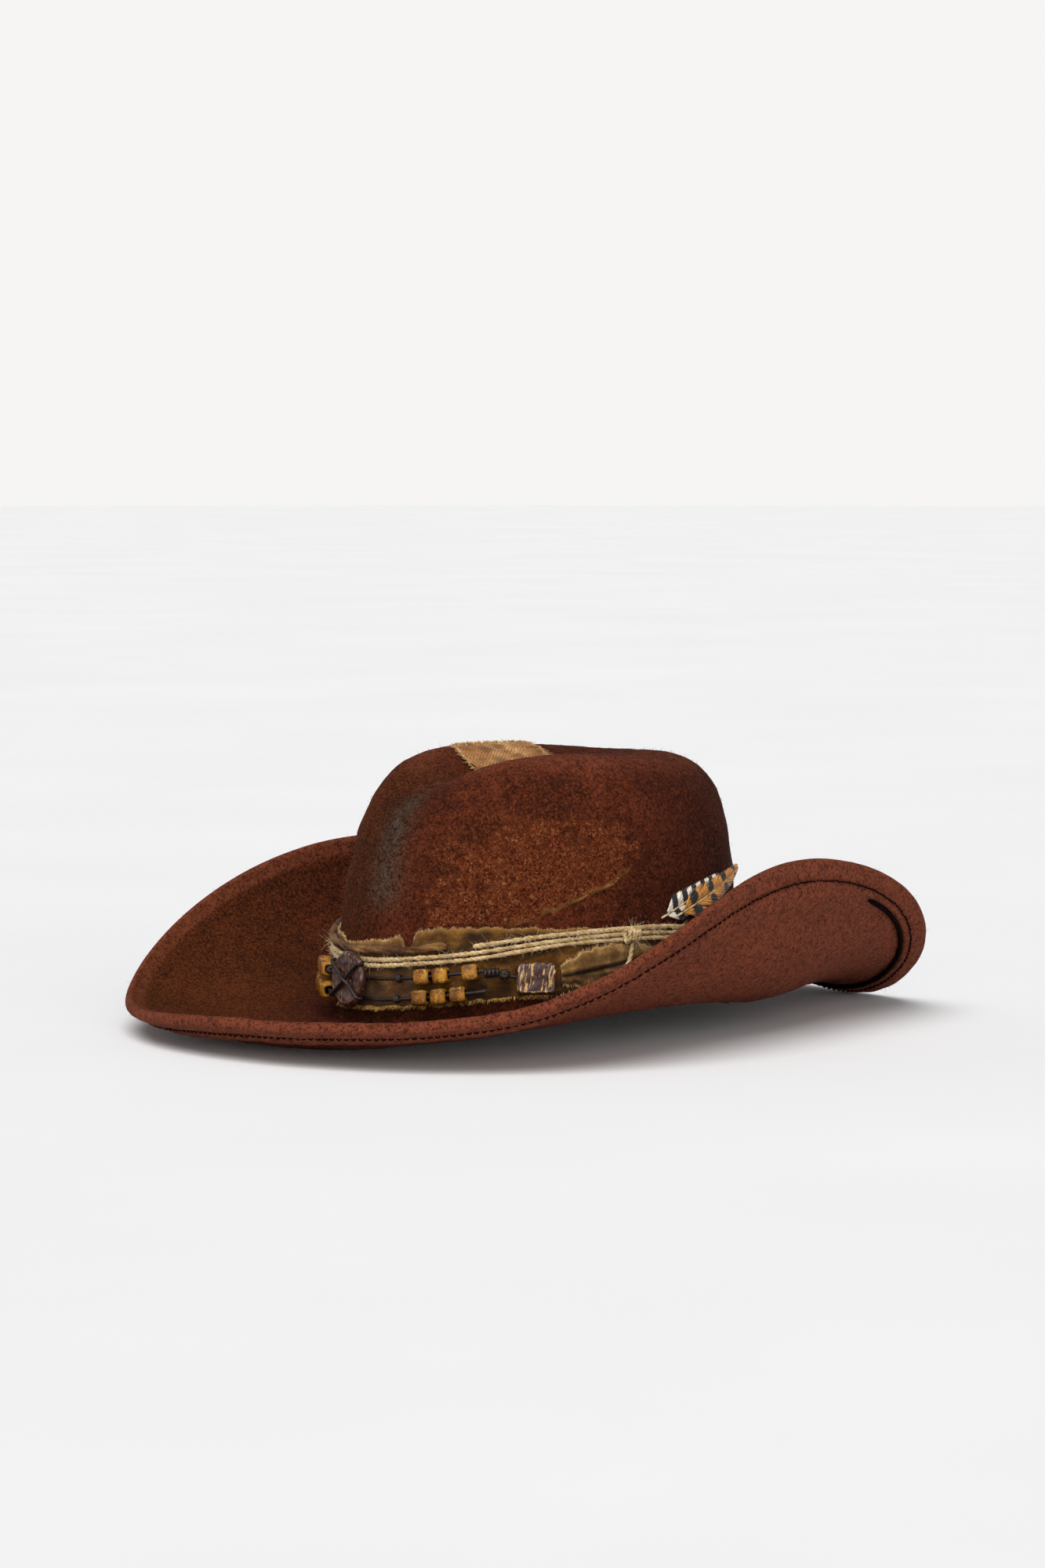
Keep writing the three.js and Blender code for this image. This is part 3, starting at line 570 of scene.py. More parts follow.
def shellFinish(name, dark, mid, streak, streakTurn=0.9, amount=0.9, long_=0.16, sparse=0.6):
    # polished nutshell: dark brown with short pale fibres set in it, all lying about one way
    made, tree, at = newFinish(name)
    cloud = noise(tree, at, 4, 4, 0.6)
    base = shades(tree, cloud, (0.35, dark), (0.65, mid))
    lines = noise(tree, stretched(tree, at, (1, long_, long_), (0.2, streakTurn, streakTurn)), 0.5, 3, 0.55)
    dots = noise(tree, at, 3.2, 2, 0.5)
    fleck = calc(tree, "MULTIPLY", spread(tree, lines, sparse, sparse + 0.06), spread(tree, dots, 0.38, 0.52))
    base = over(tree, calc(tree, "MULTIPLY", fleck, amount), base, streak)
    fine = noise(tree, at, 0.8, 5, 0.65)
    height = calc(tree, "ADD", calc(tree, "MULTIPLY", lines, 0.5), fine)
    surface(tree, base, spread(tree, fine, 0.3, 0.7, 0.28, 0.5), bump(tree, height, 0.12),
            Specular_IOR_Level=0.4, Coat_Weight=0.15, Coat_Roughness=0.2)
    return made


def leatherFinish():
    # pebbled grain from cells, darker in the creases, shiny where hair has rubbed it
    made, tree, at = newFinish("sweatband leather")
    cells = add(tree, "TexVoronoi", {"Vector": at, "Scale": 1 / (1.3 * mm)}).outputs["Distance"]
    cloud = noise(tree, at, 16, 5, 0.6)
    base = shades(tree, cloud, (0.35, "#23140b"), (0.5, "#3b2415"), (0.68, "#533520"))
    base = over(tree, spread(tree, cells, 0.35, 0.7, 0.0, 0.5), base, "#160c06")
    surface(tree, base, spread(tree, cloud, 0.35, 0.65, 0.42, 0.62), bump(tree, cells, -0.2),
            Specular_IOR_Level=0.45)
    return made


def featherFinish(name, dark, mid, light_, roughness):
    # the dye mark says how dark a barb is at each place; fine lines lie along the barbs
    made, tree, at = newFinish(name)
    fine = noise(tree, at, 0.5, 3, 0.6)
    cloud = noise(tree, at, 5, 4, 0.6)
    ground = shades(tree, weigh(tree, cloud, 0.6, fine, 0.4), (0.35, mid), (0.6, light_))
    dye = calc(tree, "ADD", mark(tree, "dye"), calc(tree, "MULTIPLY", calc(tree, "SUBTRACT", fine), 0.5))
    base = over(tree, spread(tree, dye, 0.4, 0.6), ground, dark)
    surface(tree, base, roughness, bump(tree, fine, 0.08), Sheen_Weight=0.2, Specular_IOR_Level=0.4)
    return made


def floorFinish():
    # an almost even pale grey with broad soft clouds
    made, tree, at = newFinish("pale studio floor")
    cloud = noise(tree, at, 300, 3, 0.5)
    surface(tree, shades(tree, cloud, (0.3, "#e9e8e7"), (0.7, "#ecebea")), 0.9, bump(tree, cloud, 0.05),
            Specular_IOR_Level=0.1)
    return made


finishes = {
    "felt": feltFinish(),
    "fuzz": hairFinish("felt nap", "#3f1609", "#96502c"),
    "bandCloth": clothFinish("band cloth", "#2c1606", "#5e390f", "#9c6c2c", 0.5),
    "ragCloth": clothFinish("rag cloth", "#4a2c12", "#946a35", "#d0a768", 0.5),
    "stripCloth": clothFinish("strip cloth", "#351b0a", "#6b421d", "#a1753f", 0.5),
    "sacking": clothFinish("sacking", "#7b4c20", "#b07842", "#d8a96c", 1.0, "#3b1f0c"),
    "fray": hairFinish("frayed threads", "#8a6533", "#e0bf85"),
    "goldFray": hairFinish("golden frayed threads", "#6a4716", "#c79a4c"),
    "jute": twistFinish("jute twine", "#70502c", "#c0a06c", "#eed9ae", 0.9, 0.1, 0.5),
    "juteHair": hairFinish("jute hairs", "#b08d58", "#f2e0ba"),
    "waxed": twistFinish("dark waxed cord", "#0b0605", "#211511", "#42312a", 0.45, 0.0, 0.3, 0.35),
    "edgeCord": twistFinish("edge cord", "#040202", "#0b0504", "#1a0e0a", 0.9, 0.0, 0.35, 0.02),
    "thread": twistFinish("stitching thread", "#070201", "#120603", "#240e07", 0.9, 0.0, 0.35, 0.03),
    "leather": leatherFinish(),
    "wood": woodFinish(),
    "button": shellFinish("coconut shell", "#1c0905", "#431b10", "#a87650", amount=0.75, sparse=0.56),
    "tile": shellFinish("streaked tile", "#2a120d", "#512a21", "#d3a45f", 0.75, 0.95, 0.08, 0.53),
    "stripedPlume": featherFinish("barred feather", "#0a0504", "#cfbda3", "#fbf2e2", 0.6),
    "goldPlume": featherFinish("golden feather", "#0c0603", "#a65a0c", "#e0962a", 0.6),
    "quill": hairFinish("quill", "#8b6b42", "#e6d3ad"),
    "floor": floorFinish(),
}
print("finishes are mixed")


# floor and sky
def studioFloor(reach=14, rings=24, turns=64):
    # flat disc of rings whose radius grows as the square of their count
    r = reach * np.linspace(0.004, 1, rings) ** 2
    phi = np.arange(turns) * 2 * np.pi / turns
    points = vectors(r[:, None] * np.cos(phi), r[:, None] * np.sin(phi), 0.0).reshape(-1, 3)
    i, j = np.arange(rings - 1)[:, None], np.arange(turns)[None]
    faces = np.stack([i * turns + j, (i + 1) * turns + j, (i + 1) * turns + (j + 1) % turns,
                      i * turns + (j + 1) % turns], -1).reshape(-1, 4)
    mesh = bpy.data.meshes.new("studio_floor")
    mesh.from_pydata(points.tolist(), [], faces.tolist() + [list(range(turns))])
    mesh.materials.append(finishes["floor"])
    made = bpy.data.objects.new("studio_floor", mesh)
    bpy.context.scene.collection.objects.link(made)


def studioSky():
    # one tone in a ring above the horizon, easing to a dimmer one overhead
    sky = bpy.data.worlds.new("sky")
    sky.use_nodes = True
    tree = sky.node_tree
    way = add(tree, "TexCoord", {}).outputs["Generated"]
    height = add(tree, "SeparateXYZ", {"Vector": way}).outputs[2]
    tone = shades(tree, height, (light["ringTo"], light["horizon"]), (light["domeFrom"], light["overhead"]))
    tree.links.new(tone, tree.nodes["Background"].inputs["Color"])
    tree.nodes["Background"].inputs["Strength"].default_value = light["skyStrength"]
    bpy.context.scene.world = sky


studioFloor()
studioSky()

# loose end of the twine
tail = {
    "diameter": 2.2, "pitch": 5.5, "spacing": 0.3,
    # out of the knot, down over the rag and onto the brim, in the frame
    "route": ((83.9, -7.5, 47.7), (84.1, -7.9, 45.6), (84.5, -8.6, 43.4), (84.9, -9.5, 41.2),
              (85.1, -10.6, 39.0), (85.2, -11.8, 36.9), (85.3, -13.0, 34.7), (85.5, -14.2, 32.6),
              (85.8, -15.3, 30.4), (86.2, -16.3, 28.2), (86.7, -17.3, 26.1), (87.6, -18.4, 24.3),
              (89.2, -19.7, 23.2), (91.2, -21.1, 22.9), (93.2, -22.4, 23.0), (95.1, -23.6, 23.2)),
}


def looseEnd():
    # a rope of two plies along an evenly spaced route, in place of the frame's twine tail
    route = resample(np.array(tail["route"]), tail["spacing"])
    made = rope("twine_tail_rope", route - hatShift, (1.0, 0.3, 0.4), tail["diameter"], finishes["jute"],
                plies=2, pitch=tail["pitch"], slot="jute", replaces=["twine_tail"])
    return route - hatShift


tailPath = looseEnd()
print("the loose end of the twine hangs")

# felt body
felt = {
    "columns": 360, "wave": 0.55, "crumple": 0.28, "pebble": 0.1, "calmBelow": 46,
    "fillet": 5, "stitchDip": 0.7, "wornDip": 0.5, "tornLift": 1.5,
    "openFrom": 142, "openTo": 184, "openEase": 12,   # where the fold's seam has come undone
    # elsewhere its lip covers the cord, then eases back to the brim
    "lipHold": 3.6, "lipEase": 10, "lipCover": 0.3,
    # the torn edge of the worn place: angle in degrees and height above the crown's foot
    "tornAngles": (30, 39.5, 50, 61, 74, 85, 92), "tornHeights": (47, 44.5, 43.5, 45.5, 50.5, 58.5, 66),
}


def crownMarks(phi, h):
    # soft masks on the crown's side by angle and height: 1 inside, easing out over some millimetres
    deg = degreesRound(phi)
    edge = np.interp(deg, felt["tornAngles"], felt["tornHeights"])
    ring = noiseRing(phi)
    edge = edge + 1.1 * ripple(ring, 14, 101) + 0.6 * ripple(ring, 5, 102)
    inside = smooth(-1.5, 1.5, h - edge) * smooth(16, 34, deg) * smooth(104, 84, deg)
    worn = inside * smooth(112, 78, h) * (0.6 + 0.25 * np.exp(-((deg - 62) / 26) ** 2 - ((h - 58) / 20) ** 2))
    halo = np.exp(-((deg - 54) / 30) ** 2 - ((h - 74) / 28) ** 2)
    torn = np.exp(-((h - edge) / 0.75) ** 2) * smooth(48, 60, deg) * smooth(92, 86, deg)
    torn = torn * smooth(-1.1, 0.1, ripple(ring, 11, 103))
    chalk = np.exp(-((deg - 6 + 0.1 * (h - 80)) / 8) ** 2) * smooth(50, 66, h) * smooth(116, 104, h)
    # dirt with painted shade: darker in the front pinch, on the sides turned from the light towards the back,
    # and at the foot
    dirt_and_shade = 0.9 * np.exp(-((deg + 6) / 22) ** 2) + 0.5 * smooth(84, 110, np.abs(deg)) + 0.8 * smooth(16, 2, h)
    rust = 0.35 * halo + 0.4 * np.exp(-((deg + 20) / 26) ** 2)
    return {"worn": np.maximum(worn, 0.42 * halo), "torn": torn, "chalk": chalk,
            "dirt_and_shade": np.clip(dirt_and_shade, 0, 1), "rust": rust}


def feltBody():
    # rows from the middle of the crown's top, down its side, out over the brim, round the rolled
    # edge, back under it, and up the inside to the middle again
    phi = np.arange(felt["columns"]) * 2 * np.pi / felt["columns"]
    shy = hat["topShoulder"]
    # rows close together where the torn edge runs
    sideShare = np.concatenate([[0, 0.006, 0.013, 0.021, 0.032, 0.046], np.linspace(0.064, 0.33, 14),
                                np.linspace(0.336, 0.55, 40), np.linspace(0.57, 0.8, 13)])
    rim = np.cos(np.arcsin(0.8 ** (shy / 2))) ** (2 / hat["frontShoulder"])
    topShare = np.linspace(0, 0.985, 33)[1:]
    psi = np.concatenate([np.arcsin(sideShare ** (shy / 2)),
                          np.arccos((rim * (1 - topShare)) ** (hat["frontShoulder"] / 2))])
    outer = crownOver(phi[None], psi[:, None])
    across = np.roll(outer, -1, 1) - np.roll(outer, 1, 1)
    out = unit(np.cross(across, np.gradient(outer, axis=0)))
    h = outer[..., 2] - footOf(phi)[None]
    marks = crownMarks(phi[None], h)
    calm = smooth(felt["calmBelow"] - 8, felt["calmBelow"] + 14, h)
    bulge = calm * (felt["wave"] * ripple(outer, 70, 3) + felt["crumple"] * ripple(outer, 24, 4)
                    + felt["pebble"] * ripple(outer, 7, 5))
    scar = (felt["tornLift"] * marks["torn"] * (0.7 + 0.5 * ripple(outer, 5, 8))
            + marks["worn"] * (0.5 * ripple(outer, 5, 6) + 0.35 * ripple(outer, 2.8, 7) - felt["wornDip"]))
    inner = outer + out * (bulge - hat["thickness"])[..., None]
    outer = outer + out * (bulge + scar)[..., None]

    s = np.concatenate([[0.8, 1.7, 2.8, 4.2, 6], np.linspace(8, hat["brimWidth"] - 1.8, 40)])
    under = -hat["thickness"]
    folded = 2 * under - hat["foldGap"]
    lip = hat["brimWidth"] - hat["foldWidth"]
    wave = 0.35 * ripple(brim(phi[None], s[:, None], 0), 45, 9) * smooth(6, 30, s)[:, None]
    wave += 0.16 * ripple(brim(phi[None], s[:, None], 0), 14, 10) * smooth(6, 30, s)[:, None]
    # where the seam still holds, the lip lies down flat over the cord
    deg = degreesRound(phi)
    turned = np.degrees(phi)
    shut = 1 - smooth(felt["openFrom"] - felt["openEase"], felt["openFrom"], turned) \
        * smooth(felt["openTo"] + felt["openEase"], felt["openTo"], turned)
    seamDip = felt["stitchDip"] * np.exp(-((s - hat["brimWidth"] + hat["foldWidth"]) / 1.3) ** 2)
    top = brim(phi[None], s[:, None], wave - seamDip[:, None])
    turn = np.linspace(0, math.pi, 11)[1:-1]
    rimOut = hat["brimWidth"] - 1.6 + 2.2 * np.sin(turn)
    edgeWave = wave[-1][None]
    edge = brim(phi[None], rimOut[:, None], folded / 2 - folded / 2 * np.cos(turn)[:, None] + edgeWave)
    fold = np.linspace(hat["brimWidth"] - 1.8, lip + 0.7, 18)
    stitchLine = np.exp(-((fold - hat["brimWidth"] + hat["stitchInset"]) / 1.0) ** 2)
    below = brim(phi[None], fold[:, None], folded + 0.6 * stitchLine[:, None] + edgeWave)
    lipRows = brim(phi[None], np.array([lip + 0.15, lip, lip - 0.1])[:, None],
                   np.array([folded + 0.5, folded + 1.4, under])[:, None] + edgeWave)
    held = lip - felt["lipHold"]
    eased = held - felt["lipEase"]
    easing = np.linspace(lip - 0.5, eased, 12)
    drop = (1 - smooth(held, eased, easing))[:, None] * shut[None]
    lipUnder = brim(phi[None], easing[:, None], mix(under, folded - felt["lipCover"], drop) + edgeWave)
    lipRows = mix(lipRows, brim(phi[None], np.array([lip + 0.15, lip, lip - 0.1])[:, None],
                                folded + edgeWave), shut[None, :, None])
    lipRows = np.concatenate([lipRows, lipUnder])
    inside = s < eased - 1
    back = s[inside][::-2]
    underWave = wave[inside][::-2]
    bottom = brim(phi[None], back[:, None], under + underWave)
    corner = np.concatenate([inner[0][:, :2], brim(phi, 0.0, under)[:, 2:]], -1)[None]
    inner = inner[1::2]
    rows = np.concatenate([outer[::-1], top, edge, below, lipRows, bottom, corner, inner])

    # soften the two folds where the brim leaves the crown by averaging neighbouring rows
    for middle in (len(outer) - 1, len(rows) - len(inner) - 1):
        for _ in range(felt["fillet"]):
            near = slice(middle - 5, middle + 6)
            rows[near] = (rows[middle - 6:middle + 5] + 2 * rows[near] + rows[middle - 4:middle + 7]) / 4

    count = len(rows)
    full = {key: np.zeros((count, len(phi))) for key in marks}
    for key, values in marks.items():
        full[key][:len(outer)] = values[::-1]
    brimRows = slice(len(outer), len(outer) + len(s))
    leftFront = np.exp(-((deg + 35) / 50) ** 2)[None]
    # dirt over the left front, and painted shade where the brim leaves the crown and along the seam's dip
    full["dirt_and_shade"][brimRows] = 0.25 * smooth(30, 0, s)[:, None] + 0.45 * leftFront * smooth(0, 20, s)[:, None] \
        + 0.55 * np.exp(-((s - lip) / 1.6) ** 2)[:, None]
    belowStart = len(outer) + len(s) + len(edge)
    # painted shade along the line of stitches under the brim
    full["dirt_and_shade"][belowStart:belowStart + len(fold)] = 0.5 * stitchLine[:, None]
    full["rust"][brimRows] = 0.55 * leftFront * smooth(10, 40, s)[:, None]
    # painted light: the brim's rolled edge, underside and the inside lightened, and a band round the crown
    # near its top rim
    full["painted_light"] = np.zeros((count, len(phi)))
    full["painted_light"][belowStart - len(edge) - 3:] = 0.7
    full["painted_light"][:len(outer)] = 0.5 * np.exp(-((psi[::-1] / (math.pi / 2) - 0.72) / 0.14) ** 2)[:, None]
    # darker over the flat of the top
    flatTop = smooth(0.86, 0.97, psi / (math.pi / 2))[::-1]
    full["dirt_and_shade"][:len(outer)] += 0.25 * flatTop[:, None]
    loft("felt_shell", rows, finishes["felt"], marks=full, replaces=["felt_body"], slot="felt")
    return rows


feltRows = feltBody()
print("felt body is blocked")

# under the brim: cord in the lip of the fold, and the stitches
edge = {"cordDiameter": 2.4, "cordPitch": 6.0, "stitches": 330, "stitchLength": 1.9, "stitchThread": 0.75,
        "clearance": 0.3}


def underBrim():
    # a cord that follows the arc of the brim at one distance from the crown, and short bowed stitches
    # in a row at another
    phi = np.linspace(0, 2 * np.pi, 1640, endpoint=False)
    s = hat["brimWidth"] - hat["foldWidth"] - edge["clearance"] - edge["cordDiameter"] / 2
    lift = -hat["thickness"] - edge["clearance"] - edge["cordDiameter"] / 2
    path = brim(phi, s, lift)
    rope("brim_cord_rope", path, unit(path - brim(phi, s, lift - 1)), edge["cordDiameter"],
         finishes["edgeCord"], plies=2, pitch=edge["cordPitch"], sides=14, joined=True,
         slot="waxed_cord", replaces=["brim_cord"])
    s = hat["brimWidth"] - hat["stitchInset"]
    low = -2 * hat["thickness"] - hat["foldGap"]
    dice = np.random.default_rng(11)
    count = edge["stitches"]
    middle = np.arange(count) * 2 * np.pi / count + dice.normal(0, 5e-4, count)
    reach = edge["stitchLength"] / 2 / (hat["crownLength"] / 2 + s * 0.8)
    t = np.linspace(-1, 1, 6)
    paths = brim(middle[:, None] + reach * t, s + dice.normal(0, 0.12, (len(middle), 1)),
                 low + 0.35 - 0.75 * (1 - t ** 4)[None])
    strands("edge_stitches", paths, edge["stitchThread"] / 2, finishes["thread"], sides=6,
            marks={"groove": 1.0}, slot="thread", replaces=["edge_stitching"])


underBrim()

# inside the crown: leather band and the reed in its lower edge
lining = {"height": 36, "thickness": 1.2, "gap": 0.9, "reed": 1.6, "clearance": 0.3, "stitches": 150,
          "stitchReach": 0.011, "stitchHeight": 2.6, "stitchThread": 0.6}   # reach in radians


def innerBand():
    # a thin upright strip carried round inside the crown, with a round reed along its lower edge
    phi = np.linspace(0, 2 * np.pi, 320, endpoint=False)
    lift = -hat["thickness"] - lining["gap"] - lining["thickness"]
    # section: down the inner face, round the lower edge, up the outer face, round the upper edge
    v = np.linspace(0, 1, 16)
    round_ = np.linspace(0, np.pi, 6)[1:-1]
    half = lining["thickness"] / 2
    o = np.concatenate([np.zeros(16), half - half * np.cos(round_), np.full(16, 2 * half),
                        half + half * np.cos(round_)])
    h = lining["height"] * np.concatenate([1 - v, np.zeros(4), v, np.ones(4)])
    h = h + np.concatenate([np.zeros(16), -half * np.sin(round_), np.zeros(16), half * np.sin(round_)])
    ring = noiseRing(phi)
    sag = -0.35 * np.abs(ripple(ring, 60, 21))[:, None] * smooth(10, 36, h)
    rows = onCrown(phi[:, None], h[None], lift + o + sag)[0]
    loft("leather_sweatband", rows, finishes["leather"], joined=True, slot="leather",
         replaces=["sweatband"])
    path, out, up = onCrown(phi, -lining["clearance"] - lining["reed"] / 2,
                            lift + lining["thickness"] - lining["reed"] / 2)
    rope("leather_reed", path, out, lining["reed"], finishes["leather"], groove=0, sides=12, joined=True,
         slot="reed", replaces=["sweatband_reed"])
    dice = np.random.default_rng(12)
    middle = np.linspace(0, 2 * np.pi, lining["stitches"], endpoint=False)
    t = np.linspace(-1, 1, 5)
    foot, out, up = onCrown(middle[:, None] + lining["stitchReach"] * t, 0, lift)
    paths = foot + up * lining["stitchHeight"] + out * (0.1 - 0.35 * (1 - t ** 2))[None, :, None]
    strands("sweatband_stitches", paths + dice.normal(0, 0.03, paths.shape), lining["stitchThread"] / 2,
            finishes["thread"], sides=5, marks={"groove": 1.0}, slot="thread")


innerBand()
print("brim edge and sweatband are sewn")

# hatband cloth
band = {
    "thickness": 1.2, "clearance": 0.3,
    # lower and upper edge every 30 degrees round
    "lows": (9, 9.5, 8, 3, 3, 3, 3, 3, 3, 3, 4, 7),
    "heights": (40, 46, 38, 33, 30, 30, 30, 30, 31, 33, 36, 38),
    "gapAngle": 21, "gapWidth": 2.0, "gapDepth": 8, "columns": 560, "layers": 26,
    "fold": 1.2, "foldLength": 9, "heldAt": 31.5, "heldReach": 6.5, "fringe": 4600, "lowerFringe": 700,
}
overCloth = 2 * band["clearance"] + band["thickness"]


def bandEdges(phi):
    # lower and upper edge: the spline of heights, less a torn gap, with a ragged line to it
    deg = degreesRound(phi)
    top = roundStations(band["heights"], phi)
    top = top - band["gapDepth"] * np.exp(-((deg - band["gapAngle"]) / band["gapWidth"]) ** 4)
    top = top - 2.2 * smooth(24, 17, deg) * smooth(-16, -8, deg)
    ring = noiseRing(phi)
    ragged = 0.5 * ripple(ring, 9, 31) + 0.3 * ripple(ring, 2.5, 32)
    return roundStations(band["lows"], phi) + 0.35 * ripple(ring, 6, 33), top + ragged


def bandPlace(phi, v, lift=0.0):
    # v runs from 0 at the lower edge to 1 at the upper one, and the strip follows the crown
    phi, v, lift = (np.asarray(a, float) for a in np.broadcast_arrays(phi, v, lift))
    low, top = bandEdges(phi)
    return onCrown(phi, mix(low, top, v), band["clearance"] + lift)


def bandCloth():
    # a grid of angle and height on the crown, lifted by folds that are the size of a ripple, and doubled
    # back on itself; then loose threads off both edges
    phi = np.linspace(0, 2 * np.pi, band["columns"], endpoint=False)
    v = np.linspace(0, 1, band["layers"])
    spot = vectors(86 * 0.16 * phi[:, None], 40 * v[None] + 2.5 * np.sin(5 * phi)[:, None], 0)
    deg = degreesRound(phi)[:, None]
    free = smooth(14, 26, deg) * smooth(84, 70, deg)
    folds = band["fold"] * (0.35 + 0.65 * free) * np.abs(ripple(spot, band["foldLength"], 34))
    low, top = bandEdges(phi[:, None])
    held = np.exp(-((mix(low, top, v) - band["heldAt"]) / band["heldReach"]) ** 4)   # flat under the twine
    folds = folds * smooth(0, 0.12, v) * smooth(1.02, 0.85, v) * (1 - 0.9 * held)
    outer, out, up = bandPlace(phi[:, None], v[None], band["thickness"] * 0.75)
    outer = outer + out * folds[..., None]
    inner = outer - out * (band["thickness"] * 0.75 - 0.05 + folds * 0.6)[..., None]
    rows = np.concatenate([outer, inner[:, ::-1]], axis=1)
    across = np.concatenate([38 * v, 40 + 38 * v])
    # dirt in clouds and darker towards the lower edge, with painted shade in the creases between folds
    dirt_and_shade = np.clip(0.5 * ripple(outer, 16, 35) + 0.3 * smooth(0.35, 0.0, v), 0, 0.8)
    dirt_and_shade = dirt_and_shade + 0.5 * (1 - smooth(0, 0.25, folds)) * free
    pale = 0.75 * smooth(0.93, 1.0, v) * np.ones_like(phi)[:, None]
    marks = {"dirt_and_shade": bothFaces(dirt_and_shade), "pale": bothFaces(pale)}
    made = loft("band_wrap", rows, finishes["bandCloth"], joined=True, along=lengthAlong(outer[:, 12]),
                across=across, marks=marks, slot="band_cloth", replaces=["band_cloth"])
    dice = np.random.default_rng(36)
    # threads pulled loose along the upper edge, and golden ones along the lower edge
    phi = dice.uniform(0, 2 * np.pi, band["fringe"])
    q = np.linspace(0, 1, 4)[None]
    longer = 1 + 0.6 * np.exp(-(((np.degrees(phi) % 360) - 20) / 16) ** 2)   # beside the torn gap
    length = dice.uniform(0.5, 1.9, (len(phi), 1)) * longer[:, None]
    root, out, up = bandPlace(phi[:, None] + dice.normal(0, 0.007, (len(phi), 1)) * q * length,
                              0.965, 0.35)
    lift = dice.normal(0.1, 0.45, (len(phi), 1)) * q ** 2
    paths = root + up * (q * length)[..., None] + out * lift[..., None]
    upper = strands("band_upper_fray", paths, np.array([0.16, 0.14, 0.1, 0.05]), finishes["fray"],
                    slot="band_cloth")
    phi = np.radians(dice.uniform(-14, 64, band["lowerFringe"]))
    length = dice.uniform(0.8, 2.4, (len(phi), 1))
    root, out, up = bandPlace(phi[:, None] + dice.normal(0, 0.006, (len(phi), 1)) * q * length,
                              0.03, 0.9)
    paths = root - up * (q * length)[..., None] + out * (0.7 * q ** 2 * length)[..., None]
    lower = strands("band_lower_fray", paths, np.array([0.2, 0.18, 0.13, 0.06]), finishes["goldFray"],
                    slot="band_cloth")


bandCloth()

# rolled strip and turns of twine
wraps = {
    "twine": 2.2, "twineGap": 0.4, "twinePitch": 5.2, "spacing": 0.5, "swing": 0.35,
    "cordHeight": 22.8, "bead": 7.6, "beadCorner": 2.0, "clearance": 0.3,
    "strip": 3.7, "stripHeight": 4.2, "stripThickness": 3, "stripTurn": 46,
    "stripLift": (8, 4, 0.6, 0, 0, 0), "hairs": 4200, "wisps": 60,
    # climb of the turns towards the sides, and first and last angle of the third turn and the strip
    "drift": 0.8, "thirdTurn": (42, 220), "stripSpan": (-110, 34),
}
beadReach = wraps["bead"] / math.sqrt(2) - wraps["beadCorner"] * (math.sqrt(2) - 1)
twineHeight = wraps["cordHeight"] + beadReach + wraps["clearance"] + wraps["twine"] / 2
twineStep = wraps["twine"] + wraps["twineGap"]


def twinePlace(phi, turn):
    # height of the turn, drifting a little round the hat
    ring = noiseRing(phi, 40 * turn)
    h = twineHeight + turn * twineStep + wraps["drift"] * np.sin(phi) ** 2
    h = h + wraps["swing"] * ripple(ring, 60, 41)
    return onCrown(phi, h, overCloth + wraps["twine"] / 2 + 0.25 * ripple(ring, 40, 42))


def twineTurns():
    # ropes of two plies round the crown, each a step above the last, with loose fibres
    spans = {"twine_turn_1": (0, 360), "twine_turn_2": (0, 360), "twine_turn_3": wraps["thirdTurn"]}
    for turn, (name, (low, high)) in enumerate(spans.items()):
        joined = high - low == 360
        count = int(np.radians(high - low) * 92 / wraps["spacing"])
        phi = np.radians(np.linspace(low, high, count, endpoint=not joined))
        path, out, up = twinePlace(phi, turn)
        rope(name + "_rope", path, out, wraps["twine"], finishes["jute"], plies=2,
             pitch=wraps["twinePitch"], groove=0.24, sides=14, joined=joined, rough=0.16, seed=43 + turn,
             slot="jute", replaces=[name])
    # loose jute fibres: out of the twine at random, each bending over as it goes
    dice = np.random.default_rng(44)
    turn = dice.integers(0, 3, wraps["hairs"])
    phi = np.where(turn < 2, dice.uniform(0, 2 * np.pi, wraps["hairs"]),
                   np.radians(dice.uniform(*wraps["thirdTurn"], wraps["hairs"])))
    root, out, up = twinePlace(phi, turn)
    ahead = np.cross(up, out)
    length = np.minimum(dice.gamma(2.2, 1.1, (wraps["hairs"], 1, 1)), 6.5)
    q = np.linspace(0, 1, 6)[None, :, None]
    lean = dice.normal(0, 1.2, (wraps["hairs"], 1, 1))
    rise = dice.normal(0, 0.65, (wraps["hairs"], 1, 1))
    bow = dice.normal(0, 0.5, (wraps["hairs"], 1, 3))
    away = unit(ahead[:, None] * lean + up[:, None] * rise + out[:, None] * 0.5)
    paths = root[:, None] + out[:, None] * 0.6 + away * q * length + bow * q ** 2 * length * 0.5
    strands("twine_fibres", paths, np.linspace(0.085, 0.03, 6), finishes["juteHair"], slot="jute")


def rolledStrip():
    # a rope of three plies whose height eases from station to station
    base = (twineHeight + twineStep + wraps["twine"] / 2 + wraps["clearance"] + wraps["drift"]
            + wraps["stripHeight"] / 2)
    t = np.linspace(0, 1, 420)
    phi = np.radians(mix(*wraps["stripSpan"], t))
    path, out, up = onCrown(phi, base + runStations(wraps["stripLift"], t) + 0.3 * np.sin(40 * t),
                            overCloth + wraps["stripThickness"] / 2)
    rope("strip_roll", path, out, wraps["strip"], finishes["stripCloth"], plies=3,
         pitch=wraps["stripTurn"], groove=0.42, sides=28, rough=0.12, seed=46, slot="tan_cloth",
         replaces=["rolled_strip"])


twineTurns()
rolledStrip()
print("band is wrapped and tied")

# waxed cords, their knots and the beads
def waxedRope(name, path, guide, diameter, sides, pitch=3.4, **given):
    rope(name, path, guide, diameter, finishes["waxed"], plies=3, pitch=pitch, groove=0.2, sides=sides,
         slot="waxed_cord", **given)


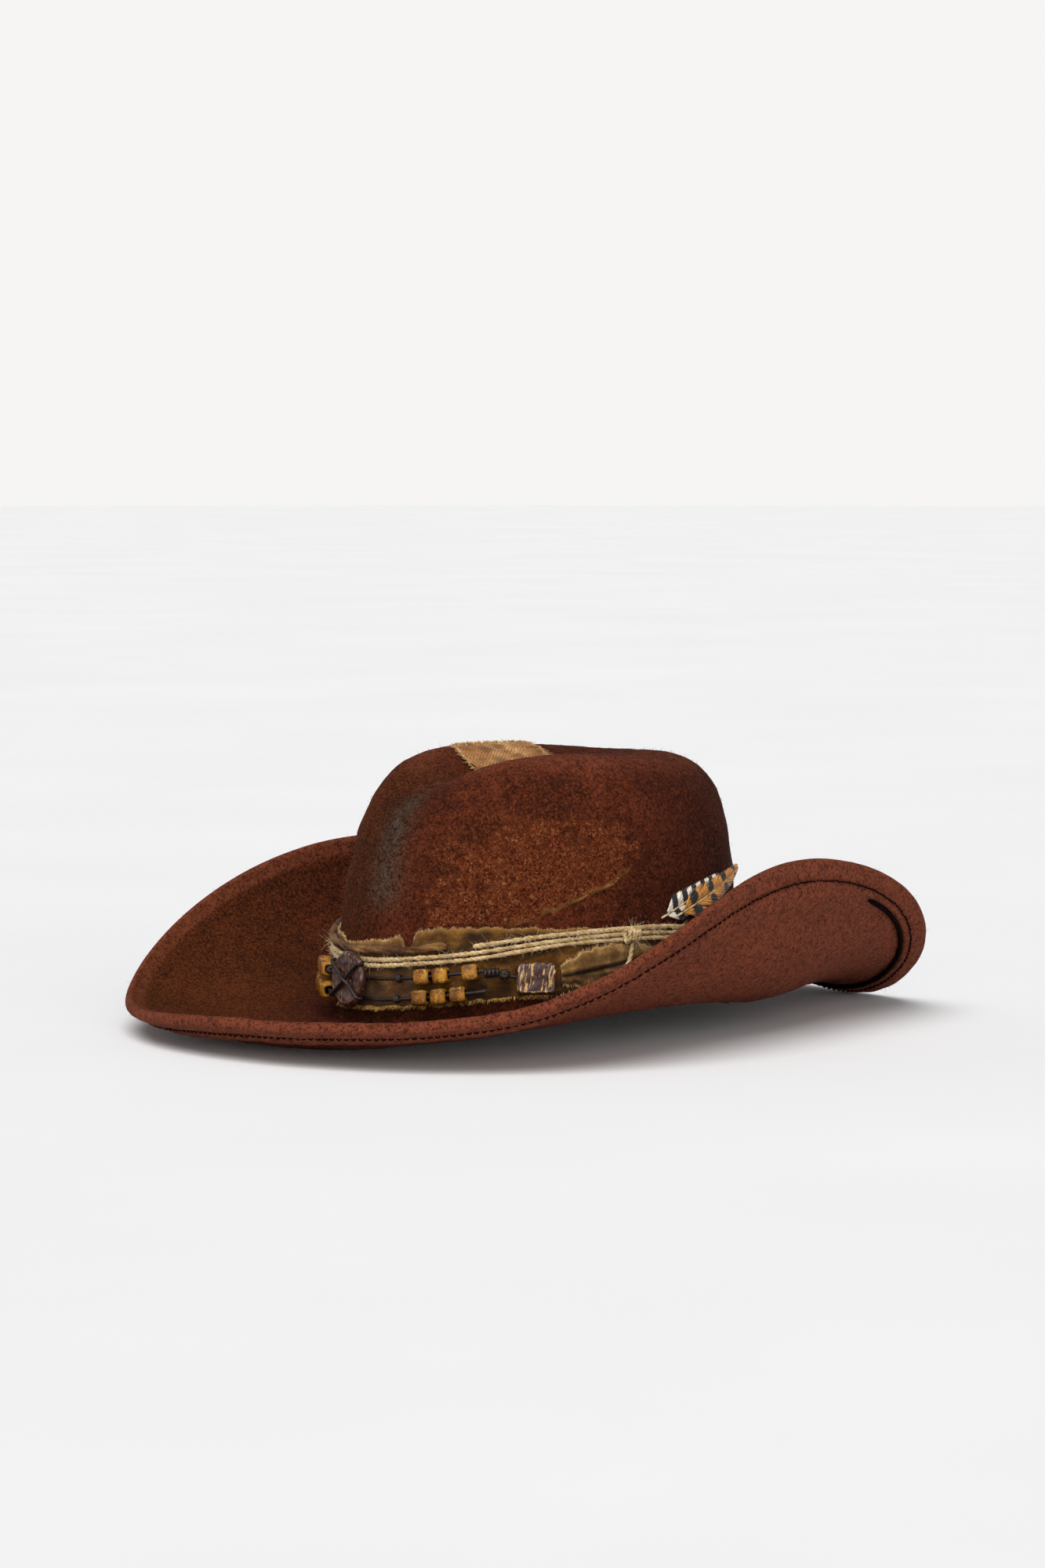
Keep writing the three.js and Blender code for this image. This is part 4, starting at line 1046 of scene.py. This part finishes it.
beads = {
    "waxed": 1.8, "bore": 2.6, "edge": 2.0, "hollow": 0.05, "squareness": 5.5,
    # angle where each row starts, and the gap in front of each bead, counted away from the button
    "rows": {"upper": (25.8, (0, 1.6, 6.4)), "lower": (25.4, (0, 1.7, 1.7)),
             "left_upper": (-15, (0, 1.7)), "left_lower": (-14, (0, 1.7, 1.7))},
    "cords": {"upper": (-32.02, 45.49), "lower": (-36.96, 46.0)},
    # first and last angle of the sleeve, angle of the ball knot, and how far each hangs below the cord
    "sleeve": (45.8, 49.2), "sleeveDrop": 1.5, "sleeveRadius": 1.45, "sleeveTurns": 3.2,
    "ball": 50.9, "ballDrop": 3, "ballRadius": 2.05, "ballOffset": 0.9, "ballCord": 1.6,
    "stopperRadius": 1.5, "stopperCord": 1.5, "knotCord": 1.7, "knotPitch": 3.2,
    # the cord from the ball knot to the tile: first and last angle, height and lift, and how far it sags
    "tileCordAngles": (50, 56.5), "tileCordHeights": (20.5, 18.5), "tileCordLifts": (5.5, 4.2),
    "tileCordSag": 1.2,
}
lowerHeight = wraps["cordHeight"] - 2 * beadReach - wraps["clearance"]
# knots that stop the beads beside the button: angle and height
beads["stoppers"] = ((20.5, wraps["cordHeight"]), (20, lowerHeight), (-13.5, wraps["cordHeight"]))


def cordPlace(phi, h):
    # off the cloth by half a bead, dipping to the cloth behind the button
    dip = 1 - smooth(0, 1, (np.abs(np.degrees(phi)) - 8) / 6)
    return onCrown(phi, h, mix(overCloth + beadReach, overCloth + beads["waxed"] / 2, dip))


def waxedCords():
    # two ropes of three plies along the cloth, held out by half a bead
    for name, (low, high) in beads["cords"].items():
        h = wraps["cordHeight"] if name == "upper" else lowerHeight
        path, out, up = cordPlace(np.radians(np.linspace(low, high, 460)), h)
        waxedRope(f"waxed_{name}", path, out, beads["waxed"], 15, rough=0.03,
                  replaces=[f"waxed_cord_{name}"])


def beadShape():
    # closed loop of sections from the bore's one mouth, over the outside, to the other mouth; each
    # section blends a circle into a rounded square |x|^n + |y|^n = 1 as it leaves the bore
    half = wraps["bead"] / 2
    turn = np.linspace(0, 2 * np.pi, 64, endpoint=False)
    square = superOval(turn, beads["squareness"])
    bend = np.linspace(0, np.pi / 2, 7)
    e = beads["edge"]
    share = np.concatenate([np.linspace(0, 1, 6)[1:] * (half - e), half - e + e * np.sin(bend)[1:]])
    z = half - beads["hollow"] * np.concatenate([np.linspace(1, 0, 6)[1:] ** 2, np.zeros(6)])
    z = z - np.concatenate([np.zeros(5), e - e * np.cos(bend)[1:]])
    bore = beads["bore"] / 2
    share = np.concatenate([[0.0, 0.12], share / half, np.full(3, 1.0)])
    z = np.concatenate([[half - 0.9, half - 0.25], z, np.linspace(half - e, 0, 5)[1:-1]])
    share, z = np.concatenate([share, [1.0], share[::-1]]), np.concatenate([z, [0.0], -z[::-1]])
    inside = np.maximum(1 - share * half / (bore + 0.4), 0)
    radius = mix(bore, half * square[None], share[:, None])
    rows = vectors(radius * np.cos(turn), radius * np.sin(turn), z[:, None])
    darkEdges = smooth(0.62, 1.0, share)[:, None] * smooth(0.98, 1.12, square)[None]
    rim = np.exp(-((np.abs(z) - half + 0.5) / 0.7) ** 2) * smooth(0.75, 0.98, share)
    return rows, np.clip(darkEdges + 0.7 * rim[:, None], 0, 1), np.clip(inside * 3, 0, 1)[:, None]


def threadBeads():
    # each bead is set on along its cord by half its own size and a gap, and turned a little by chance
    shape, edgeDark, bore = beadShape()
    dice = np.random.default_rng(51)
    step = math.radians(0.5)

    def runAt(phi, h):
        return (cordPlace(np.array(phi + step), h)[0] - cordPlace(np.array(phi - step), h)[0]) / (2 * step)

    for row, (first, gaps) in beads["rows"].items():
        h = wraps["cordHeight"] if row.endswith("upper") else lowerHeight
        phi, hand = math.radians(first), math.copysign(1, first)
        for i, gap in enumerate(gaps, 1):
            phi += hand * (gap + wraps["bead"] / 2) / np.linalg.norm(runAt(phi, h))
            at, out, up = cordPlace(np.array(phi), h)
            run = unit(runAt(phi, h))
            up = unit(np.cross(run, out))
            side = np.cross(up, run)
            spin = dice.normal(0, 0.12)
            x = side * math.cos(spin) + up * math.sin(spin)
            y = np.cross(run, x)
            size = 1 - 0.03 * dice.random()
            rough = 1 + 0.012 * ripple(shape + 40 * i, 4, 52)[..., None]
            local = shape * size * rough
            rows = at + local[..., :1] * x + local[..., 1:2] * y + local[..., 2:] * run
            name = f"bead_{row}_{i}"
            loft(name + "_wood", rows, finishes["wood"], joined=True, marks={"edge": edgeDark, "bore": bore},
                 rides=name + "_body", slot="bead_wood", replaces=[name])
            phi += hand * wraps["bead"] / 2 / np.linalg.norm(runAt(phi, h))


def hoop(centre, axis, guide, radius, offset, points=40):
    # circle of this radius about an axis, offset along it
    x = unit(guide - axis * (guide @ axis))
    y = np.cross(axis, x)
    a = np.linspace(0, 2 * np.pi, points, endpoint=False)[:, None]
    return centre + axis * offset + radius * (x * np.cos(a) + y * np.sin(a))


def wound(name, centre, axes, radius, offsets, diameter, replaces=()):
    # a knot as hoops of cord about several axes
    for i, axis in enumerate(axes):
        for j, offset in enumerate(offsets):
            r = math.sqrt(max(radius ** 2 - offset ** 2, 0.2))
            path = hoop(centre, unit(np.array(axis)), np.array([0.31, 0.52, 0.79]), r, offset)
            waxedRope(f"{name}_{i}{j}", path, unit(path - centre), diameter, 10, beads["knotPitch"],
                      joined=True, replaces=replaces if i + j == 0 else ())


def knots():
    # sleeve: two cords winding opposite ways round the cord at radius r
    at, out, up = cordPlace(np.radians(np.linspace(*beads["sleeve"], 150)),
                            wraps["cordHeight"] - beads["sleeveDrop"])
    for hand in (-1, 1):
        a = hand * np.linspace(0, 2 * np.pi * beads["sleeveTurns"], 150)[:, None]
        path = at + beads["sleeveRadius"] * (out * np.cos(a) + up * np.sin(a))
        waxedRope(f"sleeve_{'left' if hand < 0 else 'right'}", path, unit(path - at), beads["knotCord"], 10,
                  beads["knotPitch"], replaces=["knotted_sleeve"] if hand > 0 else ())
    centre, out, up = cordPlace(np.array(math.radians(beads["ball"])),
                                wraps["cordHeight"] - beads["ballDrop"])
    wound("ball", centre, [out, up, np.cross(up, out), out + up], beads["ballRadius"],
          (-beads["ballOffset"], beads["ballOffset"]), beads["ballCord"], ["ball_knot"])
    # overhand knots that stop the beads beside the button
    for i, (angle, h) in enumerate(beads["stoppers"]):
        centre, out, up = cordPlace(np.array(math.radians(angle)), h)
        ahead = np.cross(up, out)
        wound(f"stopper_{i}", centre, [ahead, ahead + 0.6 * up], beads["stopperRadius"], (-0.6, 0.7),
              beads["stopperCord"])
    # cord from the ball knot to the tile, sagging between them
    t = np.linspace(0, 1, 60)
    height = mix(*beads["tileCordHeights"], t) - beads["tileCordSag"] * np.sin(np.pi * t)
    path, out, up = onCrown(np.radians(mix(*beads["tileCordAngles"], t)), height,
                            mix(*beads["tileCordLifts"], t))
    waxedRope("tile_cord", path, out, beads["knotCord"], 12)


waxedCords()
threadBeads()
knots()
print("beads are threaded")

# button, its lashing, and the tile
button = {"diameter": 27, "thickness": 4.2, "hole": 3.2, "spacing": 8, "height": 21.5,
          "dish": 0.9, "lashAngles": (35, -35)}


def placed(local, at, out, up):
    # points given as along the side, up and outwards
    side = np.cross(up, out)
    return at + local[..., :1] * side + local[..., 1:2] * up + local[..., 2:] * out


def cutHoles(body, cutters):
    # take each cutter out of the body and keep the result as a plain mesh
    for cutter in cutters:
        cut = body.modifiers.new("hole", "BOOLEAN")
        cut.operation = "DIFFERENCE"
        cut.solver = "EXACT"
        cut.object = cutter
    ready = bpy.data.meshes.new_from_object(body.evaluated_get(bpy.context.evaluated_depsgraph_get()))
    body.modifiers.clear()
    body.data = ready
    for cutter in cutters:
        bpy.data.objects.remove(cutter)


def shellButton():
    # a profile turned about the axis, its rim a half circle and its face dished by exp(-r r)
    r, t = button["diameter"] / 2, button["thickness"]
    at, out, up = onCrown(np.array(0.0), button["height"],
                          overCloth + wraps["twine"] + wraps["clearance"])
    turn = np.linspace(0, 2 * np.pi, 96, endpoint=False)
    # profile from the middle of the face, over the rounded rim, to the middle of the back
    bend = np.linspace(0, np.pi, 14)
    radius = np.concatenate([np.linspace(0.3, r - 2.2, 14), r - 2.1 + 2.1 * np.sin(bend), [r * 0.6, 0.3]])
    face = t - button["dish"] * np.exp(-(np.linspace(0, 1, 14) * 1.7) ** 2)
    z = np.concatenate([face, t / 2 + t / 2 * np.cos(bend), [0.0, 0.0]])
    wave = 1 + 0.012 * ripple(vectors(np.cos(turn), np.sin(turn), 0), 1.4, 61)
    rows = vectors(radius[:, None] * np.cos(turn) * wave, radius[:, None] * np.sin(turn) * wave,
                   z[:, None] + 0.12 * ripple(vectors(radius[:, None] * np.cos(turn),
                                                      radius[:, None] * np.sin(turn), 0), 5, 62))
    body = loft("coconut_button", placed(rows, at, out, up), finishes["button"], slot="nutshell",
                replaces=["shell_button"])
    cutters = []
    for side in (-1, 1):
        z = np.linspace(-2, t + 2, 4)
        ring = vectors(side * button["spacing"] / 2 + button["hole"] / 2 * np.cos(turn[::3]),
                       button["hole"] / 2 * np.sin(turn[::3]), z[:, None])
        cutters.append(loft(f"hole_{side}", placed(ring, at, out, up), finishes["button"]))
    cutHoles(body, cutters)
    # strands over the face: out to the rim and down over it; the second one rides over the first
    d = beads["waxed"]
    for i, angle in enumerate(button["lashAngles"]):
        x = np.linspace(-1, 1, 90)
        rim = smooth(0.86, 1.0, np.abs(x))
        reach = (r + wraps["clearance"] + d / 2) * np.sign(x) * np.minimum(np.abs(x) * 1.08, 1)
        crossing = (1.3 if i else 0.0) * np.exp(-(x / 0.16) ** 2)
        z = t + 0.25 + d / 2 - 0.4 * x ** 2 - (t * 0.65) * rim + crossing
        z = z - button["dish"] * 0.6 * np.exp(-(x / 0.4) ** 2)
        a = math.radians(angle)
        local = vectors(reach * math.cos(a), reach * math.sin(a) + 0.5 * np.sin(3 * x), z)
        path = resample(placed(local, at, out, up), 0.25)
        waxedRope(f"lashing_{i}", path, out, d, 14, replaces=["button_lashing"] if i == 0 else ())


tile = {"length": 19, "width": 14.5, "thickness": 3, "angle": 59.45, "height": 16.2,
        "squareness": 7, "lift": 0.6}


def streakedTile():
    # rounded oblong |x/a|^n + |y/b|^n = 1 in rings from the middle of the face round to the back
    at, out, up = onCrown(np.array(math.radians(tile["angle"])), tile["height"], overCloth + tile["lift"])
    turn = np.linspace(0, 2 * np.pi, 120, endpoint=False)
    square = superOval(turn, tile["squareness"])
    square = square * (1 + 0.012 * ripple(vectors(4 * np.cos(turn), 4 * np.sin(turn), 0), 1.6, 63))
    bend = np.linspace(0, np.pi, 12)
    edgeSize = 0.9 / (tile["width"] / 2)
    share = np.concatenate([np.linspace(0.03, 1 - edgeSize, 12), 1 - edgeSize + edgeSize * np.sin(bend),
                            [0.6, 0.03]])
    z = np.concatenate([np.full(12, tile["thickness"]), tile["thickness"] / 2 * (1 + np.cos(bend)), [0, 0]])
    flat = vectors(share[:, None] * tile["length"] / 2 * np.cos(turn) * square,
                   share[:, None] * tile["width"] / 2 * np.sin(turn) * square, z[:, None])
    flat[..., 2] += 0.1 * ripple(flat * [1, 1, 0], 6, 64) * (flat[..., 2] > 1)
    loft("tile_plate", placed(flat, at, out, up), finishes["tile"], slot="nutshell",
         replaces=["shell_tile"])


shellButton()
streakedTile()
print("button and tile are on")

# knotted rag and the twine knot above it
rag = {
    "cloth": 0.8, "thickness": 3.4,
    "leaves": {
        # first and last angle, height at each, half widths along the leaf
        "rag_leaf_upper": (66.3, 97, 16.5, 20, (4.5, 9, 9.8, 7.5, 2.5)),
        "rag_leaf_lower": (64, 84, 4.6, 4, (1, 2.4, 3, 2.6, 1)),
    },
    # cut width and length in metres, and the area of that leaf-shaped cut
    "flat": {"rag_leaf_upper": (0.02, 0.056, 0.0009), "rag_leaf_lower": (0.0125, 0.034, 0.00033)},
    "creaseDepth": 2.6, "creaseWidth": 0.13, "fray": {"rag_leaf_upper": 620, "rag_leaf_lower": 240},
}


def ragLeaves():
    dice = np.random.default_rng(71)
    for k, (name, (low, high, start, end, halves)) in enumerate(rag["leaves"].items()):
        # dome 1 - v^2 across the leaf, less one deep crease, with folds running along it
        t = np.linspace(0, 1, 110)[:, None]
        v = np.linspace(-1, 1, 40)[None]
        phi = np.radians(mix(low, high, t))
        ragged = (1 + 0.05 * ripple(vectors(30 * t, 0, 9 * k), 3, 72)
                  + 0.04 * ripple(vectors(30 * t, 0, k), 1.1, 73))
        half = runStations(halves, t) * ragged
        at, out, up = onCrown(np.broadcast_to(phi, (110, 40)), mix(start, end, t), overCloth)
        dome = (rag["thickness"] - rag["cloth"]) * (1 - v ** 2) ** 0.7
        crease = rag["creaseDepth"] * np.exp(-((v + 0.2 - 0.3 * t) / rag["creaseWidth"]) ** 2)
        crease = crease * smooth(0.05, 0.3, t)
        folds = 1.0 * np.sin(7 * v + 5 * t + 1.3 * k) * (0.35 + 0.65 * smooth(0, 1, t)) * (1 - v ** 6)
        lift = np.maximum(dome - crease + folds + 0.25 * ripple(at, 5, 74), 0.0) + rag["cloth"]
        outer = at + up * (v * half)[..., None] + out * lift[..., None]
        inner = outer - out * rag["cloth"]
        rows = np.concatenate([outer, inner[:, ::-1]], axis=1)
        pale = 0.8 * smooth(0.88, 1.0, np.abs(v)) + 0 * t
        # painted shade down the deep crease, in the hollows of the folds and in a dark spot for a hole that
        # is not cut, with some dirt in clouds
        dirt_and_shade = 0.95 * np.exp(-((v + 0.2 - 0.3 * t) / 0.12) ** 2) + 0.4 * smooth(0.2, -0.8, folds)
        hole = np.exp(-(((t - 0.55) * 30) ** 2 + ((v + 0.5) * 5) ** 2) / 2.2) * (k == 0)
        dirt_and_shade = np.clip(dirt_and_shade + 1.2 * hole + 0.2 * np.abs(ripple(outer, 9, 75)), 0, 1)
        across = np.concatenate([7 * v[0] + 7, 15 + 7 * v[0] + 7])
        made = loft(name + "_cloth", rows, finishes["ragCloth"], along=lengthAlong(outer[:, 20]),
                    across=across, marks={"pale": bothFaces(pale),
                                          "dirt_and_shade": bothFaces(dirt_and_shade)},
                    slot="tan_cloth" if k else "band_cloth", replaces=[name])
        # threads off both long edges
        count = rag["fray"][name]
        pick = dice.integers(3, 107, count)
        edgeSide = dice.integers(0, 2, count)
        root = outer[pick, np.where(edgeSide == 1, 39, 0)]
        away = up[pick, 20] * np.where(edgeSide == 1, 1, -1)[:, None]
        q = np.linspace(0, 1, 4)[None, :, None]
        length = dice.uniform(0.6, 1.9, (count, 1, 1))
        paths = (root[:, None] - 0.3 * away[:, None] + away[:, None] * q * length
                 + dice.normal(0, 0.4, (count, 1, 3)) * q ** 1.5)
        fray = strands(name + "_fray", paths, np.array([0.15, 0.13, 0.09, 0.05]), finishes["fray"],
                       slot="band_cloth")
        width, length, area = rag["flat"][name]


knot = {
    "angle": 86, "lift": 3,
    # each loop's place along the band, lean, half width and half depth
    "loops": ((-2.6, 0.1, 3.0, 2.2), (0, -0.15, 3.2, 2.4), (2.6, 0.12, 2.9, 2.1), (0.4, 0.9, 3.3, 2.5)),
    "tailFibres": 90,
}


def twineKnot():
    # four ovals of twine about one middle, then fibres in all directions
    centre, out, up = onCrown(np.array(math.radians(knot["angle"])), twineHeight + twineStep,
                              overCloth + wraps["twine"] + wraps["clearance"] + knot["lift"])
    side = np.cross(up, out)
    for i, (offset, lean, wide, deep) in enumerate(knot["loops"]):
        a = np.linspace(0, 2 * np.pi, 90, endpoint=False)[:, None]
        across = unit(up + lean * side)
        path = centre + side * offset + wide * across * np.cos(a) + deep * out * np.sin(a)
        rope(f"knot_loop_{i}", path, out + 0.01 * up, wraps["twine"], finishes["jute"], plies=2,
             pitch=wraps["twinePitch"], groove=0.34, sides=14, joined=True, seed=76 + i, slot="jute",
             replaces=["twine_knot"] if i == 0 else ())
    dice = np.random.default_rng(77)
    count = wraps["wisps"]
    q = np.linspace(0, 1, 7)[None, :, None]
    away = unit(dice.normal(0, 1, (count, 1, 3)) + 0.9 * out)
    length = dice.uniform(1.5, 5, (count, 1, 1))
    paths = centre + away * (2 + q * length) + dice.normal(0, 1.8, (count, 1, 3)) * q ** 2
    strands("knot_fibres", paths, np.linspace(0.09, 0.03, 7), finishes["juteHair"], slot="jute")
    # fibres off the hanging end, longest where it is cut
    count = knot["tailFibres"]
    pick = dice.integers(4, len(tailPath) - 1, count)
    root = tailPath[pick][:, None]
    length = dice.uniform(1, 4, (count, 1, 1)) * (0.6 + 0.8 * (pick / len(tailPath))[:, None, None])
    paths = root + unit(dice.normal(0, 1, (count, 1, 3)) + [0.8, -0.4, 0]) * q * length \
        + dice.normal(0, 0.6, (count, 1, 3)) * q ** 2
    strands("tail_fibres", paths, np.linspace(0.08, 0.03, 7), finishes["juteHair"], slot="jute")


ragLeaves()
twineKnot()
print("rag and knot are tied")

# feathers
plumes = {
    "barbs": 150,
    # first and last angle, height at each, half width of the vane, lift off the felt
    "feather_striped": (98, 126, twineHeight + 3 * twineStep + wraps["twine"], 61, 8, 2.0),
    "feather_golden": (103, 139, twineHeight + 3 * twineStep + wraps["twine"] + 1, 67, 9, 3.9),
}


def feather(name, start, end, low, high, half, lift, finish, pattern, seed):
    # a quill along the crown with barbs that sweep forwards from it, each a thin flat blade
    dice = np.random.default_rng(seed)
    t = np.linspace(0, 1, 200)
    at, out, up = onCrown(np.radians(mix(start, end, t)), mix(low, high, t), lift + 0.8)
    lean = math.atan2(high - low, math.radians(end - start) * hat["crownLength"] / 2)
    across = up * math.cos(lean) - np.cross(up, out) * math.sin(lean)
    strands(name + "_quill", at[None, ::8], np.linspace(0.6, 0.18, 25), finishes["quill"], sides=8,
            slot="feather")
    count = plumes["barbs"]
    base = np.sort(dice.uniform(0.02, 0.97, count))   # where each barb leaves the quill
    q = np.linspace(0, 1, 6)
    place = np.clip(base[:, None] + 0.2 * q[None] ** 0.9, 0, 1)
    width = half * np.minimum(1, 6 * place + 0.15) * np.sqrt(np.maximum(1.03 - place, 0.002))
    columns = [np.interp(place, t, at[:, k]) for k in range(3)]
    middle = np.stack(columns, -1)
    wide = np.stack([np.interp(place, t, across[:, k]) for k in range(3)], -1)
    lifted = np.stack([np.interp(place, t, out[:, k]) for k in range(3)], -1)
    blades, dyes, leans = [], [], []
    for hand in (-1, 1):
        length = width * dice.uniform(0.86, 1.0, (count, 1))
        curl = 0.5 * np.sin(np.pi * q)[None] + dice.normal(0, 0.12, (count, 1)) * q
        blades.append(middle + wide * (hand * q[None] * length)[..., None] + lifted * curl[..., None])
        dyes.append(pattern(place, hand * q[None] * length / half))
        leans.append(lifted)
    paths = np.concatenate(blades)
    strands(name + "_vane", paths, np.array([0.42, 0.46, 0.42, 0.36, 0.26, 0.1]), finish, sides=4,
            flatness=0.32, lean=np.concatenate(leans), marks={"dye": np.concatenate(dyes)},
            slot="feather", replaces=[name])


def barred(place, across):
    # bars across the feather that bend back towards its edges
    return 0.5 + 0.8 * np.sin(2 * np.pi * (place * 6.5 - 0.35 * np.abs(across)))


def spotted(place, across):
    # dark spots in a row down each side, and a dark tip
    spot = np.cos(2 * np.pi * (place * 4.5)) * np.exp(-((np.abs(across) - 0.42) / 0.34) ** 2)
    return 1.4 * np.maximum(spot, 0) + 0.5 * smooth(0.35, 0.0, place)


feather("feather_striped", *plumes["feather_striped"], finishes["stripedPlume"], barred, 81)
feather("feather_golden", *plumes["feather_golden"], finishes["goldPlume"], spotted, 82)
print("feathers are tucked in")

# patch of sacking in the crease
patch = {"middle": (-19, -6), "length": 50, "width": 34, "cloth": 0.8, "lift": 1.35, "threads": 420,
         "bars": 9, "barThread": 0.6, "barReach": 0.13}


def topHeight(x, y):
    # height of the crown's skin under a point, by closing in on the ring that passes through it
    phi = np.arctan2(x / hat["crownWidth"], -y / hat["crownLength"])
    low, high = np.zeros_like(phi), np.full_like(phi, math.pi / 2)
    for _ in range(26):
        mid = (low + high) / 2
        p = crownOver(phi, mid)
        outside = np.hypot(p[..., 0], p[..., 1]) > np.hypot(x, y)
        low, high = np.where(outside, mid, low), np.where(outside, high, mid)
    return crownOver(phi, low)[..., 2]


def patchPlace(a, b, lift):
    # a and b run from -1 to 1 over the width and length, drawn in at the corners
    a, b = np.broadcast_arrays(a, b)
    square = 0.93 - 0.06 * (a * b) ** 2
    x = patch["middle"][0] + square * a * patch["width"] / 2
    y = patch["middle"][1] + square * b * patch["length"] / 2
    return vectors(x, y, topHeight(x, y) + lift)


def sackingPatch():
    # a grid laid over the top of the crown, with ragged sides, a ripple in it, and threads off its edges
    a = np.linspace(-1, 1, 54)[None]
    b = np.linspace(-1, 1, 80)[:, None]
    raggedA = 1 + 0.035 * ripple(vectors(0, 30 * b, 3), 4, 91) + 0.02 * ripple(vectors(0, 30 * b, 3), 1.3, 92)
    raggedB = 1 + 0.03 * ripple(vectors(20 * a, 0, 5), 4, 93)
    wave = 0.35 * ripple(vectors(17 * a, 25 * b, 0), 9, 94)
    outer = patchPlace(a * raggedA, b * raggedB, patch["lift"] + patch["cloth"] + wave)
    rows = np.concatenate([outer, outer[:, ::-1] - [0, 0, patch["cloth"]]], axis=1)
    edgeShare = np.maximum(np.abs(a), np.abs(b))
    pale = 0.5 * smooth(0.9, 1, edgeShare)
    dirt_and_shade = np.clip(0.45 * np.abs(ripple(outer, 11, 95)), 0, 0.6)
    made = loft("sacking_patch", rows, finishes["sacking"], along=25 * b[:, 0] + 25,
                across=np.concatenate([17 * a[0] + 17, 36 + 17 * a[0] + 17]),
                marks={"pale": bothFaces(pale),
                       "dirt_and_shade": bothFaces(dirt_and_shade)},
                slot="sacking", replaces=["crown_patch"])
    dice = np.random.default_rng(96)
    count = patch["threads"]
    where = dice.uniform(-1, 1, count)
    end = dice.choice([-1, 1], count)
    flip = dice.random(count) < 0.42
    q = np.linspace(0, 1, 6)[None]
    reach = 0.97 + q * dice.uniform(0.03, 0.17, (count, 1))
    drift = where[:, None] + dice.normal(0, 0.03, (count, 1)) * q
    alongEnd = end[:, None] * reach
    paths = patchPlace(np.where(flip[:, None], drift, alongEnd), np.where(flip[:, None], alongEnd, drift),
                       patch["lift"] + 0.5 - 0.5 * q + dice.uniform(0, 1.2, (count, 1)) * q)
    fray = strands("patch_fray", paths, np.array([0.22, 0.2, 0.17, 0.14, 0.1, 0.06]), finishes["fray"],
                   slot="sacking")
    # bars of heavy thread that hold the patch down, over its long edges
    t = np.linspace(-1, 1, 9)[None]
    spots = np.linspace(-0.86, 0.86, patch["bars"])
    edgeAt = np.concatenate([np.full(patch["bars"], -0.93), np.full(patch["bars"], 0.93)])
    b0 = np.concatenate([spots, spots + 0.03])[:, None] + 0.012 * t
    paths = patchPlace(edgeAt[:, None] + patch["barReach"] * t, b0, 1.4 + 1.0 * (1 - t ** 2) ** 0.5)
    bars = strands("patch_stitches", paths, patch["barThread"] / 2, finishes["fray"], sides=6, slot="thread")


sackingPatch()

# nap: short fibres standing off the felt
nap = {"count": 9000, "length": (0.5, 1.9), "thick": 0.055}


def feltNap():
    # short bent fibres rooted at random places on the felt and pointing out of it
    dice = np.random.default_rng(99)
    usable = len(feltRows) - 70
    i = dice.integers(2, usable, nap["count"])
    j = dice.integers(0, felt["columns"], nap["count"])
    root = feltRows[i, j]
    beside = feltRows[i, (j + 1) % felt["columns"]] - feltRows[i, j - 1]
    out = unit(np.cross(feltRows[i - 1, j] - feltRows[i + 1, j], beside))
    mixIn = dice.random((nap["count"], 1))
    root = root + mixIn * 0.5 * beside * dice.choice([-1, 1], (nap["count"], 1))
    q = np.linspace(0, 1, 4)[None, :, None]
    length = dice.uniform(*nap["length"], (nap["count"], 1, 1))
    away = unit(-out[:, None] * 0.45 + dice.normal(0, 0.6, (nap["count"], 1, 3)))
    paths = root[:, None] + away * q * length + dice.normal(0, 0.35, (nap["count"], 1, 3)) * q ** 2 * length
    strands("felt_nap", paths, nap["thick"] * np.array([1, 0.9, 0.7, 0.35]), finishes["fuzz"], slot="felt")


feltNap()
print("patch is laid and the nap is raised")
